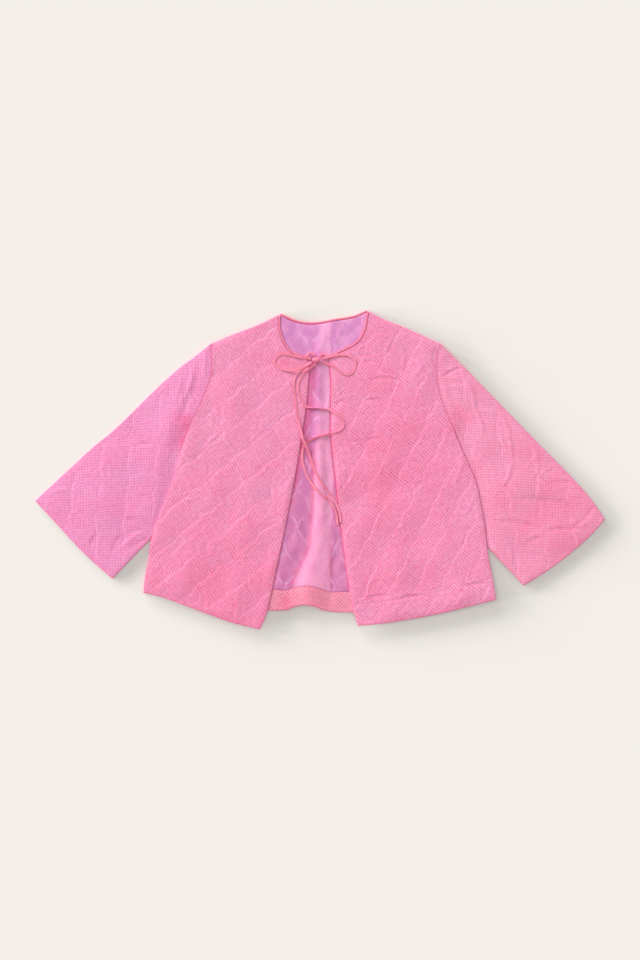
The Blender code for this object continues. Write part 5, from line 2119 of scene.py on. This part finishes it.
class Sun(NamedTuple):
    """A wide soft light from far away: its share of the light on a level place, and its angles."""

    name: str
    share: float
    height: float
    heading: float
    softness: float

    def shine(self, floor: bpy.types.Object, on_floor: bool) -> None:
        """Adds the light, for the floor alone or for all but the floor.

        Args:
            floor: The floor.
            on_floor: Whether it lights the floor alone.
        """
        data = bpy.data.lights.new(self.name, "SUN")
        data.energy = self.share * math.pi / math.sin(math.radians(self.height))
        data.angle = math.radians(self.softness)
        sun = bpy.data.objects.new(self.name, data)
        heading, height = math.radians(self.heading), math.radians(self.height)
        towards = Vector((math.cos(heading) * math.cos(height), math.sin(heading) * math.cos(height),
                          math.sin(height)))
        sun.rotation_euler = towards.to_track_quat("Z", "Y").to_euler()
        bpy.context.scene.collection.objects.link(sun)
        lit = bpy.data.collections.new(self.name + "_receivers")
        lit.objects.link(floor)
        lit.collection_objects[0].light_linking.link_state = "INCLUDE" if on_floor else "EXCLUDE"
        sun.light_linking.receiver_collection = lit


@dataclass(frozen=True)
class Studio:
    """The pale floor, the soft light and the camera straight above."""

    floor_colour: tuple = (0.905, 0.863, 0.815, 1.0)
    sky: float = 0.62
    key: Sun = Sun("key", 0.40, 20.0, 135.0, 28.0)
    floor_keys: tuple[Sun, ...] = rows(
        Sun, ("floor_top", 0.06, 7.5, 112.0, 8.0), ("floor_upper", 0.07, 5.2, 134.0, 8.0),
        ("floor_lower", 0.09, 3.9, 152.0, 6.0), ("floor_side", 0.09, 3.7, 168.0, 6.0),
        ("floor_back", 0.07, 4.0, 188.0, 7.0))
    camera_place: tuple[float, float, float] = (0.0, -0.017, 2.267)
    lens: float = 50.0
    sensor_width: float = 36.0
    floor_size: float = 40.0
    floor_drop: float = 0.0002

    def place_camera(self) -> None:
        """Looks straight down, with the top of the view towards +Y."""
        data = bpy.data.cameras.new("overhead")
        data.lens = self.lens
        data.sensor_width = self.sensor_width
        camera = bpy.data.objects.new("overhead", data)
        camera.location = self.camera_place
        bpy.context.scene.collection.objects.link(camera)
        bpy.context.scene.camera = camera

    def lay_floor(self) -> bpy.types.Object:
        """A wide plain floor just under the cloth.

        Returns:
            The floor.
        """
        bpy.ops.object.select_all(action="DESELECT")
        bpy.ops.mesh.primitive_plane_add(size=self.floor_size, location=(0, 0, -self.floor_drop))
        floor = bpy.context.active_object
        floor.name = "floor"
        material = bpy.data.materials.new("floor_paper")
        material.use_nodes = True
        set_inputs(material.node_tree.nodes["Principled BSDF"],
                   {"Base Color": self.floor_colour, "Roughness": 1.0, "Specular IOR Level": 0.0})
        floor.data.materials.append(material)
        return floor

    def light(self, floor: bpy.types.Object) -> None:
        """An even sky, a low soft key that shows the quilting and lower ones for the floor's soft shadow.

        Args:
            floor: The floor.
        """
        world = bpy.data.worlds.new("studio")
        bpy.context.scene.world = world
        world.use_nodes = True
        set_inputs(world.node_tree.nodes["Background"], {"Color": (1.0, 1.0, 1.0, 1.0), "Strength": self.sky})
        self.key.shine(floor, on_floor=False)
        for sun in self.floor_keys:
            sun.shine(floor, on_floor=True)

    def set_up(self) -> None:
        """Makes the camera, floor and lights."""
        self.place_camera()
        self.light(self.lay_floor())
        bpy.context.scene.view_settings.view_transform = "Standard"


def write_sizes() -> None:
    """Brings the view layer up to date."""
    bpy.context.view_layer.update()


def main() -> None:
    """Builds every piece of the jacket and the studio round it."""
    logging.basicConfig(level=logging.INFO, format="%(name)s %(message)s")
    Studio().set_up()
    shell = GinghamFinish("gingham_shell").make()
    sleeve_left_shell = GinghamFinish("gingham_sleeve_left", light=display_colour(255, 169, 212),
                                      middle=display_colour(249, 154, 199),
                                      dark=display_colour(240, 136, 184), lead=0.9).make()
    sleeve_right_shell = GinghamFinish("gingham_sleeve_right", light=display_colour(255, 172, 205),
                                       middle=display_colour(252, 157, 191),
                                       dark=display_colour(243, 138, 174), lead=0.85).make()
    facing = GinghamFinish("gingham_facing", light=display_colour(255, 168, 194),
                           middle=display_colour(250, 150, 176), dark=display_colour(238, 132, 160)).make()
    lining_satin = LiningFinish("lining_satin").make()
    trim = TrimFinish("bias_trim").make()
    neck_trim = TrimFinish("bias_trim_neck", main=display_colour(242, 104, 142),
                           pale=display_colour(249, 136, 164), deep=display_colour(226, 82, 122)).make()

    fronts = {side: Front(f"front_{side.value}", shell, SHELL_SLOT, Grain(angle, seed=seed),
                          ("back_lining_cloth",), side=side)
              for side, angle, seed in ((Side.LEFT, 30.0, 71), (Side.RIGHT, 54.0, 73))}
    lining = BackLining("back_lining", lining_satin, "lining_cloth", Grain(0.0, seed=75), ("back_cloth",))
    knot = BowKnot(trim).build()
    Ties(trim, fronts, lining).build()

    binding = NeckBinding(trim)
    back_binding = NeckBinding(neck_trim).back()
    Back("back", shell, SHELL_SLOT, Grain(0.0, seed=77), ("floor",), with_pieces=(back_binding,)).build()
    lining.build()
    HemFacing("back_hem_facing", facing, SHELL_SLOT, Grain(43.0, seed=79), ("back_cloth",)).build()
    for side, front in fronts.items():
        front.with_pieces = (binding.front(side),) + ((knot,) if side is Side.LEFT else ())
        front.build()
    for side, cloth, angle, seed in ((Side.LEFT, sleeve_left_shell, 2.0, 81),
                                     (Side.RIGHT, sleeve_right_shell, -2.0, 83)):
        Sleeve(f"sleeve_{side.value}", cloth, SHELL_SLOT, Grain(angle, seed=seed), ("floor",),
               layers=2, side=side).build()
    write_sizes()


if __name__ == "__main__":
    main()
